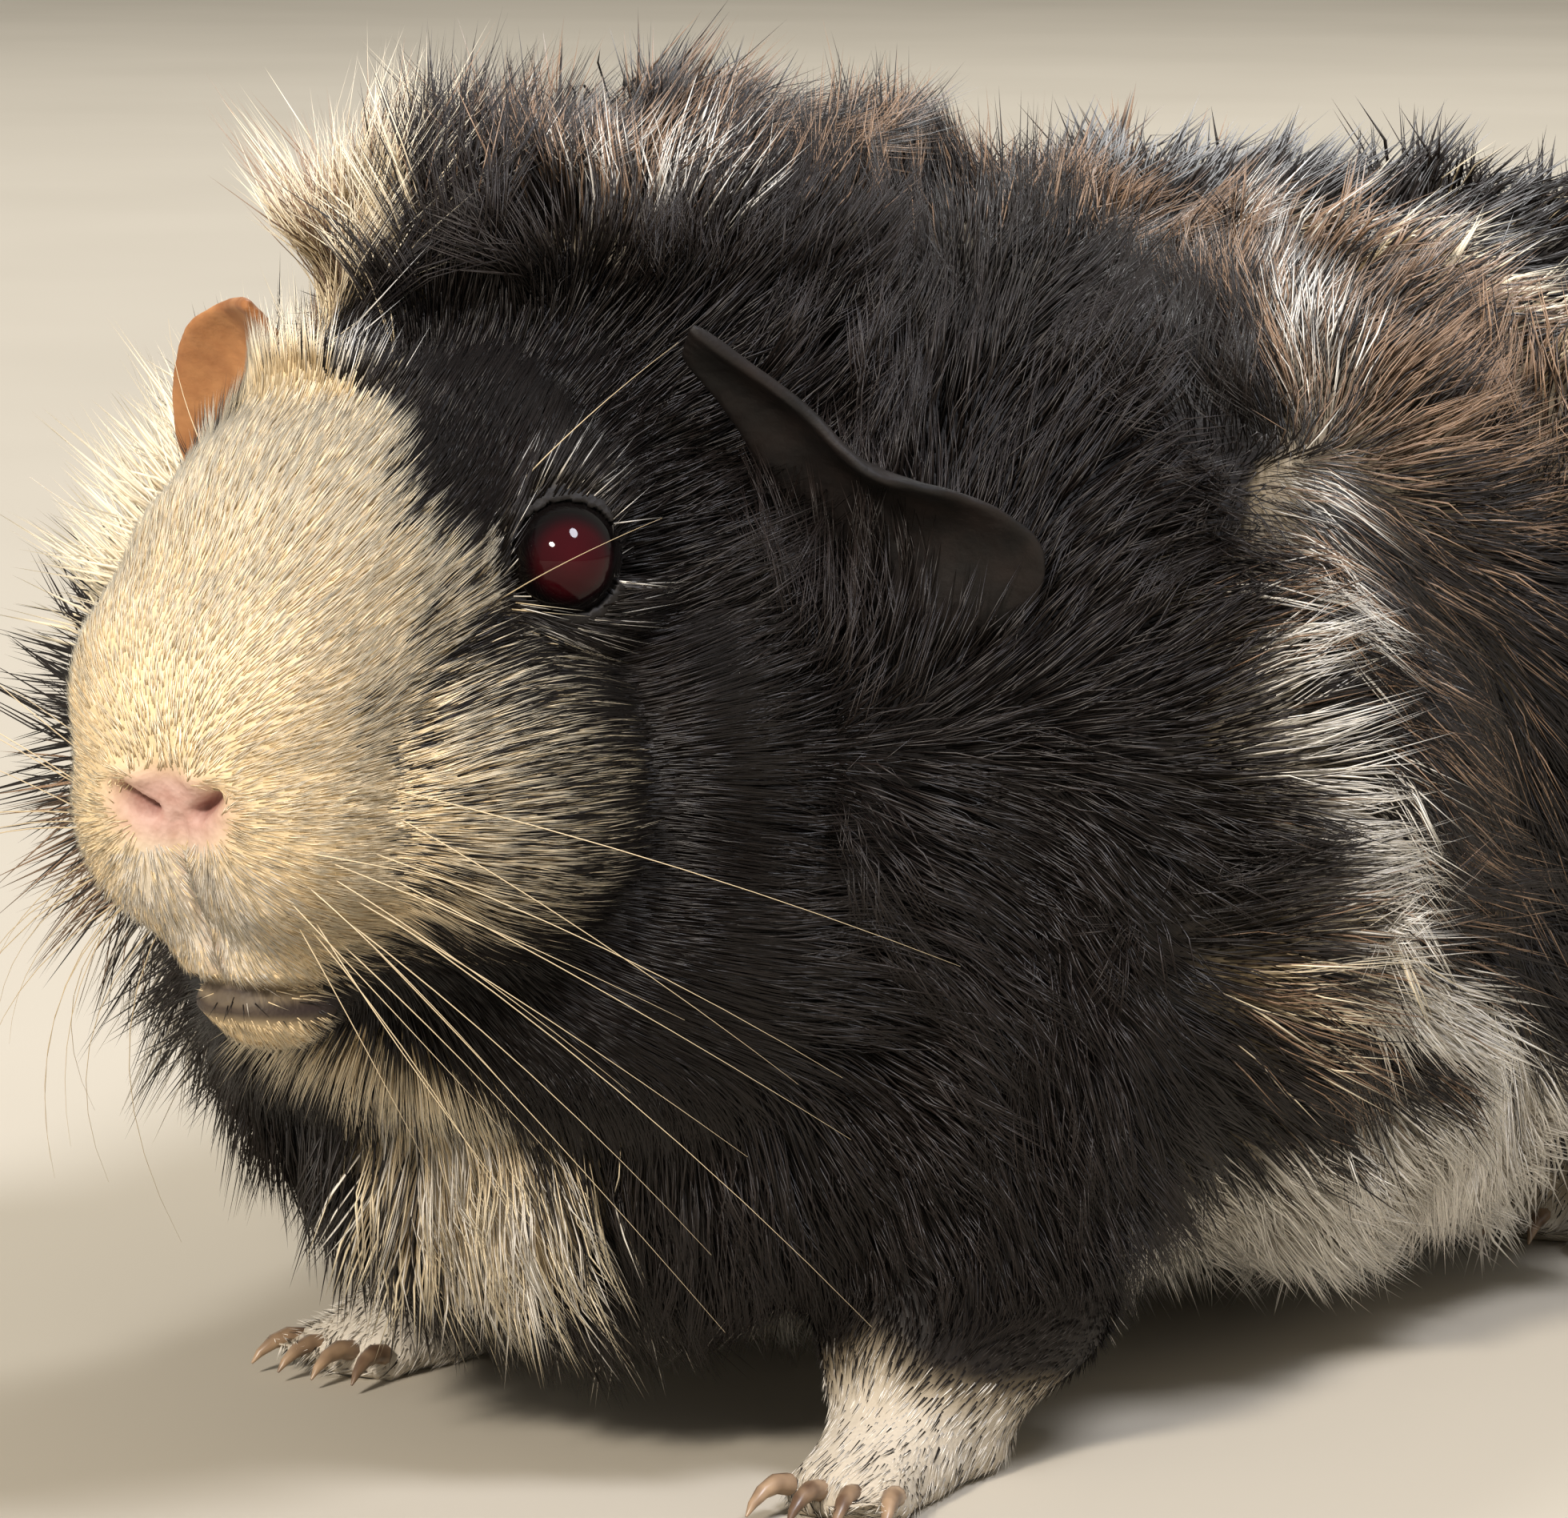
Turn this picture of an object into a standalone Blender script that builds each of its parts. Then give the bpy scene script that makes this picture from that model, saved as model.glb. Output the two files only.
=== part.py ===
"""A guinea pig with a rough, whorled coat, standing with its head up: the outline of the coat, life size.

The animal faces -Y, its left side is +X, and the origin is on the floor under the middle of its box.
The flesh is modelled whole, as rounded masses that are fused and smoothed, and then parted by thin cuts
into head, neck, trunk and legs. Sizes are in millimetres here and become metres when a part is finished.
"""

import math

import bmesh
import bpy
from mathutils import Matrix, Vector

MM = 0.001
GAP = 0.3
SIDES = {"left": 1, "right": -1}

# The head is carried with its eyes this high, turned a little to the animal's left.
EYE_HEIGHT = 79.0
EYE_FORWARD = 84.0
HEAD_TURN = 4.0

# The trunk, out to the tips of the coat: deep shoulders, a barrel, and hips that are a little lower.
TRUNK_WIDTH = 124.0
SHOULDER_HEIGHT = 112.0
HIP_HEIGHT = 104.0
RUMP_Y = 118.0
BELLY_HEIGHT = 5.0

# Eyes, measured from the middle of the line between them.
EYE_RADIUS = 4.7
EYE_CENTRE = (15.6, 2.3, -0.4)

EAR_THICKNESS = 1.2
EAR_CUP = 3.0

# Legs: where the heel of each paw stands, the paw's length and toes, and the half sizes and middle of the
# rounded piece of the body that counts as the leg.
LEGS = {
    "front": {
        "feet": {"left": (32.0, -51.0), "right": (-25.0, -33.0)},
        "paw": 15.0,
        "toes": 4,
        "reach": (21, 24, 38),
        "middle": (6, 4, 0),
    },
    "hind": {
        "feet": {"left": (36.0, 86.0), "right": (-36.0, 91.0)},
        "paw": 30.0,
        "toes": 3,
        "reach": (25, 32, 44),
        "middle": (6, -12, 0),
    },
}
TOE_OUT = 8.0
CLAW_LENGTH = 4.4
CLAW_RADIUS = 1.1

# The head's bulges stay, and the trunk's run into one another: how often each is smoothed, and the distances
# from the head and from the floor between which one gives way to the other.
VOXEL = 1.4
HEAD_SMOOTHING = 9
TRUNK_SMOOTHING = 150
HEAD_REACH = (44.0, 62.0)
FOOT_HEIGHT = (12.0, 26.0)
FLESH_TRIANGLES = 4150
FLOOR_DEPTH = 40.0
HEAD_HALF_WIDTH = 41.0


def turned(centre, degrees):
    """The frame at a place, turned about the vertical there."""
    return Matrix.Translation(centre) @ Matrix.Rotation(math.radians(degrees), 4, "Z")


HEAD_FRAME = turned((0.0, -EYE_FORWARD, EYE_HEIGHT), HEAD_TURN)


# ---------------------------------------------------------------- objects and collections

def clear_scene():
    for obj in list(bpy.data.objects):
        bpy.data.objects.remove(obj, do_unlink=True)


def new_collection(name, shown):
    made = bpy.data.collections.new(name)
    made.hide_render = not shown
    bpy.context.scene.collection.children.link(made)
    return made


def new_object(name, bm):
    """The bmesh as an object on the bench, where the parts are worked before they are finished."""
    mesh = bpy.data.meshes.new(name)
    bm.to_mesh(mesh)
    bm.free()
    obj = bpy.data.objects.new(name, mesh)
    obj.hide_render = True
    obj.display_type = "WIRE"
    BENCH.objects.link(obj)
    return obj


def copy_of(obj, name):
    copy = bpy.data.objects.new(name, obj.data.copy())
    copy.hide_render = True
    BENCH.objects.link(copy)
    return copy


def apply_modifiers(obj):
    bpy.context.view_layer.update()
    graph = bpy.context.evaluated_depsgraph_get()
    mesh = bpy.data.meshes.new_from_object(obj.evaluated_get(graph), depsgraph=graph)
    obj.modifiers.clear()
    obj.data = mesh


def boolean(obj, other, operation):
    modifier = obj.modifiers.new(operation.lower(), "BOOLEAN")
    modifier.operation = operation
    modifier.solver = "EXACT"
    modifier.object = other
    apply_modifiers(obj)


def grown(obj, by):
    """A copy whose surface stands that much further out."""
    copy = copy_of(obj, obj.name + "_grown")
    displace = copy.modifiers.new("grow", "DISPLACE")
    displace.strength = by
    displace.mid_level = 0.0
    apply_modifiers(copy)
    return copy


# ---------------------------------------------------------------- masses

def mass(centre, radii, pitch=0.0, frame=Matrix.Identity(4)):
    """The matrix that makes an ellipsoid of a unit sphere. Pitch tips its front down, in degrees."""
    tip = Matrix.Rotation(math.radians(pitch), 4, "X")
    return frame @ Matrix.Translation(centre) @ tip @ Matrix.Diagonal((*radii, 1.0))


def both_sides(centre, radii, pitch=0.0, frame=Matrix.Identity(4)):
    x, y, z = centre
    return [mass((side * x, y, z), radii, pitch, frame) for side in SIDES.values()]


def ball(name, matrices, segments=16, rings=10):
    """A unit sphere drawn out by each of the matrices, all in one object."""
    unit = bmesh.new()
    bmesh.ops.create_uvsphere(unit, u_segments=segments, v_segments=rings, radius=1.0)
    pattern = bpy.data.meshes.new("unit")
    unit.to_mesh(pattern)
    unit.free()
    bm = bmesh.new()
    for matrix in matrices:
        drawn = pattern.copy()
        drawn.transform(matrix)
        bm.from_mesh(drawn)
    return new_object(name, bm)


def head_masses():
    """The bulges of the head, about the point between the eyes."""
    frame = HEAD_FRAME
    return [
        mass((0, 21, 1), (22.5, 22, 20), 0, frame),  # cranium
        mass((-1, 4, 15.5), (12, 14, 9.5), -20, frame),  # forelock
        mass((0, 20, 20), (20, 19, 13), -20, frame),  # crown
        mass((0, -4, 0), (15.5, 22, 13.5), 14, frame),  # forehead and bridge
        mass((0, -17, -9.5), (12.5, 15, 12), 10, frame),  # snout
        mass((0, -14, -30), (7.5, 10, 6), 0, frame),  # chin
        mass((0, 8, -25), (19, 20, 12), 0, frame),  # throat
        *both_sides((5, -18.5, -19.5), (8.6, 12, 9.6), 0, frame),  # upper lips
        *both_sides((12.0, -1, -19), (11.5, 18, 13.5), 0, frame),  # cheeks
        *both_sides((15, 19, -18), (16, 17, 17), 0, frame),  # jowls
        *both_sides((9.5, 4, 5), (8, 9, 8), 0, frame),  # brows
    ]


def trunk_masses():
    """The bulges of the neck and trunk. Pairs of masses give the back and the flanks their square section."""
    half = TRUNK_WIDTH / 2
    back = HIP_HEIGHT - BELLY_HEIGHT
    middle = (HIP_HEIGHT + BELLY_HEIGHT) / 2
    withers = SHOULDER_HEIGHT - BELLY_HEIGHT
    return [
        mass((0, -24, BELLY_HEIGHT + withers / 2), (half - 10, 40, withers / 2)),  # withers
        mass((0, 26, middle), (half + 1, 76, back / 2 - 1)),  # barrel
        mass((0, RUMP_Y - 54, middle), (half - 2, 55, back / 2)),  # rump
        mass((0, 16, 38), (half - 8, 82, 38 - BELLY_HEIGHT)),  # belly
        mass((0, -42, 91), (28, 29, 25)),  # crest of the neck
        mass((0, -50, 60), (33, 34, 38)),  # ruff
        mass((0, -54, 41), (36, 31, 34)),  # chest
        mass((half - 33, -20, 54), (35, 28, 43)),  # left shoulder whorl
        mass((34 - half, -34, 54), (38, 29, 40)),  # right shoulder whorl, pushed forward as the head turns away
        *both_sides((24, 26, 60), (37, 64, 40)),  # sides of the back
        *both_sides((20, RUMP_Y - 49, 60), (41, 49, 43)),  # hips
        *both_sides((half - 28, 26, 32), (27, 70, 27)),  # hanging coat of the flanks
    ]


def foot_frame(kind, side):
    x, y = LEGS[kind]["feet"][side]
    return turned((x, y, 0), SIDES[side] * TOE_OUT)


def leg_masses(kind, side):
    """A leg's upper part, its ankle or heel, its paw and its toes."""
    x, y = LEGS[kind]["feet"][side]
    sign = SIDES[side]
    frame = foot_frame(kind, side)
    paw = LEGS[kind]["paw"]
    middle = (0, -paw / 2, 3.3)
    if kind == "front":
        upper = mass((x + sign * 3, y + 8, 29), (14, 15, 25))
        ankle = mass((0, 1, 12), (9.5, 10.5, 15), 0, frame)
        sole = mass(middle, (6.6, paw * 0.62, 4.8), 0, frame)
    else:
        upper = mass((x + sign * 4, y - 16, 34), (20, 26, 29))
        ankle = mass((0, 0, 5), (6.5, 8, 7.5), 0, frame)
        sole = mass(middle, (6.8, paw * 0.58, 5.2), 0, frame)
    toes = [mass((0, 1.5, 2.4), (2.1, 5.0, 2.8), 0, tip) for tip in toe_frames(kind, side)]
    return [upper, ankle, sole, *toes]


def toe_frames(kind, side):
    """A frame at the tip of each toe, fanned across the front of the paw."""
    count = LEGS[kind]["toes"]
    for index in range(count):
        across = index - (count - 1) / 2
        reach = LEGS[kind]["paw"] + 2.5 * math.cos(across * 0.55)
        place = Matrix.Translation((across * 12.0 / count, -reach, 0.0))
        yield foot_frame(kind, side) @ place @ Matrix.Rotation(across * 0.16, 4, "Z")


def claw(tip):
    """A small blunt cone that leaves the toe forward and a little down."""
    bm = bmesh.new()
    place = tip @ Matrix.Translation((0, -3.9, 2.6)) @ Matrix.Rotation(math.radians(100), 4, "X")
    bmesh.ops.create_cone(
        bm, cap_ends=True, segments=8, radius1=CLAW_RADIUS, radius2=0.35, depth=CLAW_LENGTH, matrix=place
    )
    return new_object("claw", bm)


def ramp(value, low, high):
    return min(1.0, max(0.0, (value - low) / (high - low)))


def mark_trunk(form):
    """A vertex group that is full on the trunk and fades out on the head and the feet."""
    form.vertex_groups.clear()
    group = form.vertex_groups.new(name="trunk")
    head_middle = HEAD_FRAME @ Vector((0, 8, -10))
    for vert in form.data.vertices:
        off_head = ramp((vert.co - head_middle).length, *HEAD_REACH)
        off_feet = ramp(vert.co.z, *FOOT_HEIGHT)
        group.add([vert.index], off_head * off_feet, "REPLACE")


def fuse_flesh():
    """All the masses as one smooth closed form with flat soles."""
    masses = head_masses() + trunk_masses()
    for kind in LEGS:
        for side in SIDES:
            masses += leg_masses(kind, side)
    form = ball("flesh", masses, 48, 32)
    remesh = form.modifiers.new("fuse", "REMESH")
    remesh.mode = "VOXEL"
    remesh.voxel_size = VOXEL
    apply_modifiers(form)
    for name, iterations, inverse in (("head", HEAD_SMOOTHING, True), ("trunk", TRUNK_SMOOTHING, False)):
        mark_trunk(form)
        smooth = form.modifiers.new(name, "SMOOTH")
        smooth.factor = 0.5
        smooth.iterations = iterations
        smooth.vertex_group = "trunk"
        smooth.invert_vertex_group = inverse
        apply_modifiers(form)
    thin = form.modifiers.new("thin", "DECIMATE")
    thin.ratio = FLESH_TRIANGLES / (2 * len(form.data.polygons))
    thin.use_collapse_triangulate = True
    apply_modifiers(form)
    floor = block("floor", (-200, -200, -FLOOR_DEPTH), (200, 200, 0))
    boolean(form, floor, "DIFFERENCE")
    return form


# ---------------------------------------------------------------- thin cuts

def block(name, low, high):
    bm = bmesh.new()
    centre = [(a + b) / 2 for a, b in zip(low, high)]
    size = [b - a for a, b in zip(low, high)]
    matrix = Matrix.Translation(centre) @ Matrix.Diagonal((*size, 1.0))
    bmesh.ops.create_cube(bm, size=1.0, matrix=matrix)
    return new_object(name, bm)


def side_profile(name, outline, half_width):
    """A block with that outline as seen from the side, a list of (y, z) points."""
    bm = bmesh.new()
    face = bm.faces.new([bm.verts.new((-half_width, y, z)) for y, z in outline])
    made = bmesh.ops.extrude_face_region(bm, geom=[face])
    moved = [item for item in made["geom"] if isinstance(item, bmesh.types.BMVert)]
    bmesh.ops.translate(bm, verts=moved, vec=(2 * half_width, 0, 0))
    bmesh.ops.recalc_face_normals(bm, faces=bm.faces)
    return new_object(name, bm)


def nape_block(name, back, gap, half_width):
    """What lies in front of the nape and above the jaw line, with both moved back and down by a distance."""
    nape_top, nape_foot, jaw = (-44 + back, 150), (-52 + back, 47 - back), (-120, 34 - back)
    grow = Vector((gap, -gap))
    top, foot, front = (Vector(point) + grow for point in (nape_top, nape_foot, jaw))
    return side_profile(name, [top, foot, front, (front.x, 150 + gap)], half_width + gap)


def part_off(rest, cutter, cutter_grown, name):
    """Takes what lies in the cutter as a part of its own, and leaves the rest a thin gap away from it."""
    piece = copy_of(rest, name)
    boolean(piece, cutter, "INTERSECT")
    boolean(rest, cutter_grown, "DIFFERENCE")
    return piece


def keep_largest(obj):
    """Drops the crumbs that a cut can leave."""
    bm = bmesh.new()
    bm.from_mesh(obj.data)
    bmesh.ops.remove_doubles(bm, verts=bm.verts, dist=0.005)
    bmesh.ops.dissolve_degenerate(bm, edges=bm.edges, dist=0.005)
    groups = []
    left = set(bm.verts)
    while left:
        group = [left.pop()]
        for vert in group:
            near = {edge.other_vert(vert) for edge in vert.link_edges} & left
            left -= near
            group.extend(near)
        groups.append(group)
    groups.sort(key=len)
    crumbs = [vert for group in groups[:-1] for vert in group]
    bmesh.ops.delete(bm, geom=crumbs, context="VERTS")
    bmesh.ops.triangulate(bm, faces=bm.faces)
    bm.to_mesh(obj.data)
    bm.free()


# ---------------------------------------------------------------- eyes and ears

def eye_matrix(sign, radius):
    x, y, z = EYE_CENTRE
    return mass((sign * x, y, z), (radius, radius, radius), 0, HEAD_FRAME)


def smooth_line(points, steps):
    """Points evenly spread along a smooth line through the given ones."""
    knots = [Vector(point) for point in points]
    knots = [2 * knots[0] - knots[1], *knots, 2 * knots[-1] - knots[-2]]
    line = []
    spans = len(knots) - 3
    for step in range(steps + 1):
        place = min(step * spans / steps, spans - 1e-9)
        span = int(place)
        t = place - span
        before, start, end, after = knots[span : span + 4]
        line.append(
            0.5
            * (
                2 * start
                + (end - before) * t
                + (2 * before - 5 * start + 4 * end - after) * t**2
                + (3 * start - before - 3 * end + after) * t**3
            )
        )
    return line


# The ears as lines along the root and the rim, from the front top to the lower lobe, in the head's frame
# on the animal's left: x outward, y back, z up.
EAR_ROOT = [(19, 16, 14.5), (21, 21, 9), (23, 26, 1), (24, 28, -7), (24, 27, -13)]
EAR_RIMS = {
    "left": [(21, 14, 17.5), (28, 21, 10), (33, 23, 4.8), (38.5, 28, 3), (43, 34, -1), (41, 35.5, -7.5), (32, 36, -13)],
    "right": [(21, 14, 17.5), (28, 22, 16.5), (33.5, 26, 14), (37, 29, 9), (37.5, 33, 2), (34, 35, -6), (28, 34, -13)],
}


def ear(side):
    """A thin petal between the root and the rim, cupped, with its hollow to the front."""
    along, across = 12, 4
    sign = SIDES[side]
    root = smooth_line(EAR_ROOT, along)
    rim = smooth_line(EAR_RIMS[side], along)
    bm = bmesh.new()
    bmesh.ops.create_grid(bm, x_segments=along, y_segments=across, size=0.5)
    for vert in bm.verts:
        u = round((vert.co.x + 0.5) * along)
        v = vert.co.y + 0.5
        cup = EAR_CUP * math.sin(math.pi * v) * math.sin(math.pi * u / along)
        point = root[u].lerp(rim[u], v) + Vector((0, cup, cup * 0.4))
        vert.co = HEAD_FRAME @ Vector((sign * point.x, point.y, point.z))
    bmesh.ops.recalc_face_normals(bm, faces=bm.faces)
    petal = new_object("ear_" + side, bm)
    shell = petal.modifiers.new("thickness", "SOLIDIFY")
    shell.thickness = EAR_THICKNESS
    shell.offset = 0.0
    apply_modifiers(petal)
    return petal


# ---------------------------------------------------------------- materials and finishing

def material(name, colour, roughness):
    made = bpy.data.materials.new(name)
    made.use_nodes = True
    shader = made.node_tree.nodes["Principled BSDF"]
    shader.inputs["Base Color"].default_value = (*colour, 1.0)
    shader.inputs["Roughness"].default_value = roughness
    return made


def finish(obj, name, finish_material):
    keep_largest(obj)
    obj.name = name
    obj.data.name = name
    obj.data.transform(Matrix.Scale(MM, 4))
    obj.data.materials.clear()
    obj.data.materials.append(finish_material)
    obj.data.shade_smooth()
    obj.data.set_sharp_from_angle(angle=math.radians(50))
    obj.hide_render = False
    obj.display_type = "TEXTURED"
    BENCH.objects.unlink(obj)
    ANIMAL.objects.link(obj)


def centre_on_floor():
    """Moves the whole animal so that the origin is under the middle of its box."""
    corners = [vert.co for obj in ANIMAL.objects for vert in obj.data.vertices]
    low = Vector([min(corner[axis] for corner in corners) for axis in range(3)])
    high = Vector([max(corner[axis] for corner in corners) for axis in range(3)])
    shift = Vector((-(low.x + high.x) / 2, -(low.y + high.y) / 2, -low.z))
    for obj in ANIMAL.objects:
        obj.data.transform(Matrix.Translation(shift))


def part_legs(flesh, coats):
    """Takes each leg off along a rounded cut, and joins its claws to it."""
    for kind, leg in LEGS.items():
        for side, sign in SIDES.items():
            x, y = leg["feet"][side]
            out, back, up = leg["middle"]
            centre = (x + sign * out, y + back, up)
            cutters = [ball("cutter", [mass(centre, [r + gap for r in leg["reach"]])], 18, 10) for gap in (0, GAP)]
            piece = part_off(flesh, *cutters, "leg")
            for tip in toe_frames(kind, side):
                boolean(piece, claw(tip), "UNION")
            finish(piece, f"{kind}_leg_{side}", coats[side])


def build():
    cream = material("cream_coat", (0.62, 0.47, 0.30), 0.8)
    black = material("black_coat", (0.03, 0.022, 0.02), 0.7)
    brown = material("brown_coat", (0.11, 0.07, 0.05), 0.75)
    white = material("white_coat", (0.75, 0.70, 0.62), 0.8)
    ear_skin = material("bare_ear_skin", (0.10, 0.05, 0.04), 0.6)
    eye_ruby = material("ruby_eye", (0.08, 0.01, 0.012), 0.1)

    flesh = fuse_flesh()
    for side, sign in SIDES.items():
        boolean(flesh, ball("socket", [eye_matrix(sign, EYE_RADIUS + GAP)]), "DIFFERENCE")
        finish(ball("eye", [eye_matrix(sign, EYE_RADIUS)]), "eye_" + side, eye_ruby)
        petal = ear(side)
        boolean(flesh, grown(petal, GAP), "DIFFERENCE")
        finish(petal, "ear_" + side, ear_skin)
    part_legs(flesh, {"left": brown, "right": white})
    for name, back, half_width, coat in (("head", 0, HEAD_HALF_WIDTH, cream), ("neck", 16, TRUNK_WIDTH, black)):
        cutters = [nape_block("nape", back, gap, half_width) for gap in (0, GAP)]
        finish(part_off(flesh, *cutters, name), name, coat)
    finish(flesh, "trunk", brown)
    centre_on_floor()


clear_scene()
BENCH = new_collection("bench", shown=False)
ANIMAL = new_collection("guinea_pig", shown=True)
build()
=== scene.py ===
"""The looks of a life-size museum model of a rough-coated guinea pig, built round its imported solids.

Run with Blender 4.5. The frame is in metres, +Z up, the face towards -Y and the animal's left at +X.
"""

import math

import bmesh
import bpy
import numpy as np
from mathutils import Matrix, Vector


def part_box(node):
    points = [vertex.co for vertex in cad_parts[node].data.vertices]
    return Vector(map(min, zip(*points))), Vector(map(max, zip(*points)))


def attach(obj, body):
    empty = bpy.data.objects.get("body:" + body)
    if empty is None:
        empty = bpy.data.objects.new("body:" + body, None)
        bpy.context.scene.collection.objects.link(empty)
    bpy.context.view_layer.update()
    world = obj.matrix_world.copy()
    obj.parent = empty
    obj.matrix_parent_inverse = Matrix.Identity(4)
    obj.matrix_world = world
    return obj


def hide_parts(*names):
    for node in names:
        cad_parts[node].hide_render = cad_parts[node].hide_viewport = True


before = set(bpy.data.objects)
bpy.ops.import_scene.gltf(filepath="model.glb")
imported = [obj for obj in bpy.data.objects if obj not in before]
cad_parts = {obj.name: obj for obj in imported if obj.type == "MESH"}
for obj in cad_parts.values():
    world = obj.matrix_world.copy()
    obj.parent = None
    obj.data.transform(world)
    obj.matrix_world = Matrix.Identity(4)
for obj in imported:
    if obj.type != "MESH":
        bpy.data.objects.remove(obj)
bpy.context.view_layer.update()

# --- Skin -------------------------------------------------------------------------------------
# The real hide is one thin sheet with no seam from the nose to the rump and down to each foot.
# Here it is cast from the flesh solids: grown together, drawn in by the depth of the coat, then
# pressed round the eyes, nostrils, split lip and mouth, as a sculptor works a cast.

MM = 0.001  # the frame is in metres, and sizes here are in millimetres
FLESH = (
    "trunk", "neck", "head",
    "front_leg_left", "front_leg_right", "hind_leg_left", "hind_leg_right",
)
SKIN_GRAIN = 1.35 * MM
JOIN_GROWTH = 0.25 * MM
INSET_STEPS = 10  # drawing in by small steps keeps the sheet from folding
EYE_OFFSET = (2.3, -0.4)  # how far behind the line of sight and below it the eyeballs' centres lie


def centre_of(node):
    low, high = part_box(node)
    return np.array((low + high) / 2) / MM


def unit(vectors):
    return vectors / np.maximum(np.linalg.norm(vectors, axis=-1, keepdims=True), 1e-9)


def ramp(values, low, high):
    """0 below low, 1 above high, and a smooth slope between them."""
    share = np.clip((values - low) / (high - low), 0, 1)
    return share * share * (3 - 2 * share)


EYE_SPAN = centre_of("eye_left") - centre_of("eye_right")
HEAD_TURN = math.atan2(EYE_SPAN[1], EYE_SPAN[0])
HEAD_AXES = np.array([
    [math.cos(HEAD_TURN), math.sin(HEAD_TURN), 0],
    [-math.sin(HEAD_TURN), math.cos(HEAD_TURN), 0],
    [0, 0, 1],
])  # to the animal's left, to its back, and up
EYES_MIDDLE = (centre_of("eye_left") + centre_of("eye_right")) / 2
HEAD_ORIGIN = EYES_MIDDLE - EYE_OFFSET[0] * HEAD_AXES[1] - EYE_OFFSET[1] * HEAD_AXES[2]


def in_head(points):
    """Points in millimetres, measured from between the eyes: x to the left, y to the back, z up."""
    return (points - HEAD_ORIGIN) @ HEAD_AXES.T


def from_head(*place):
    return HEAD_ORIGIN + np.array(place) @ HEAD_AXES


def sole_centre(node):
    """The middle of a foot's flat, on the floor."""
    points = np.array([v.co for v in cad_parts[node].data.vertices]) / MM
    return points[points[:, 2] < 0.2].mean(0)


SOLES = {leg: sole_centre(leg) for leg in FLESH if "leg" in leg}


def near_line(points, line, reach, weights=(1, 1, 1)):
    """How near each point is to the line through those points: 1 on it, fading out beyond reach."""
    points, line = points * weights, np.array(line) * weights
    best = np.full(len(points), np.inf)
    for start, end in zip(line[:-1], line[1:]):
        span = end - start
        share = np.clip(((points - start) @ span) / (span @ span), 0, 1)
        best = np.minimum(best, np.linalg.norm(points - start - share[:, None] * span, axis=1))
    return np.exp(-((best / reach) ** 2))


def inside(points, centre, radii, softness):
    """1 well inside an ellipsoid and 0 outside it, with a border of that softness in millimetres."""
    away = (points - np.array(centre)) / np.array(radii)
    depth = (1 - np.linalg.norm(away, axis=1)) * min(radii)
    return ramp(depth, -softness, softness)


def foot_share(points):
    """1 on the feet, fading out up the legs."""
    share = np.zeros(len(points))
    for sole in SOLES.values():
        apart = np.linalg.norm((points - sole) * (1, 0.62, 0), axis=1)
        share = np.maximum(share, (1 - ramp(apart, 13, 21)) * (1 - ramp(points[:, 2], 9, 26)))
    return share


# The coat's length in millimetres: on the head by how far behind the eyes, elsewhere by part.
FACE_LENGTHS = ((-33, 1.4), (-27, 2.4), (-15, 4.2), (-2, 6.0), (8, 9.0), (18, 12.0), (32, 15.0))
BODY_LENGTH, BELLY_LENGTH, CREST_LENGTH, FOOT_LENGTH = 11.6, 9.5, 11.5, 2.0
FAR_RUFF, FAR_RUFF_EXTRA = ((-46, -54, 64), (20, 20, 44)), 6.0  # the right cheek's ruff is the longer
ROUND_LIPS, LIP_TRIM = ((0, -22, -33), (10, 8, 6)), 0.45  # the hair round the lips is cut back


def crown_share(head):
    """1 on the top of the head, where the hair stands up into the crest."""
    brow = 13 + np.maximum(0, -head[:, 1] - 4) * 0.35
    return ramp(head[:, 2], brow, brow + 6) * ramp(head[:, 1], -16, -9) * (1 - ramp(head[:, 1], 32, 46))


def face_share(head):
    """1 on the front of the head, where the coat is short and flat."""
    return (1 - ramp(head[:, 1], 2, 16)) * ramp(head[:, 2], -50, -43) * (1 - crown_share(head))


def hair_length(points):
    """The coat's length in millimetres."""
    head = in_head(points)
    length = BODY_LENGTH - (BODY_LENGTH - BELLY_LENGTH) * (1 - ramp(points[:, 2], 14, 40))
    stations, lengths = zip(*FACE_LENGTHS)
    short = np.interp(head[:, 1], stations, lengths)
    on_head = (1 - ramp(head[:, 1], 24, 34)) * ramp(head[:, 2], -51, -43)
    length += (short - length) * on_head
    length *= 1 - LIP_TRIM * inside(head, *ROUND_LIPS, 3)
    length += (CREST_LENGTH - length) * crown_share(head)
    length += FAR_RUFF_EXTRA * inside(points, *FAR_RUFF, 8)
    return length + (FOOT_LENGTH - length) * foot_share(points)


def hair_rise(points):
    """How far a hair's tip stands off the skin, as a share of its length."""
    head = in_head(points)
    rise = 0.44 - 0.29 * face_share(head)
    rise += 0.26 * crown_share(head)
    rise += 0.16 * inside(points, *FAR_RUFF, 8)
    return rise - 0.2 * foot_share(points)


def grown_copy(name, nodes, growth):
    """One mesh of copies of those solids, with their loose points merged, moved outwards a little."""
    whole = bmesh.new()
    for node in nodes:
        solid = bmesh.new()
        solid.from_mesh(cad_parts[node].data)
        bmesh.ops.remove_doubles(solid, verts=solid.verts, dist=0.001 * MM)
        solid.normal_update()
        for vertex in solid.verts:
            vertex.co += vertex.normal * growth
        scratch = bpy.data.meshes.new(node + " copy")
        solid.to_mesh(scratch)
        solid.free()
        whole.from_mesh(scratch)
        bpy.data.meshes.remove(scratch)
    mesh = bpy.data.meshes.new(name)
    whole.to_mesh(mesh)
    whole.free()
    return mesh


def new_object(name, mesh):
    made = bpy.data.objects.new(name, mesh)
    bpy.context.scene.collection.objects.link(made)
    return made


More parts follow.
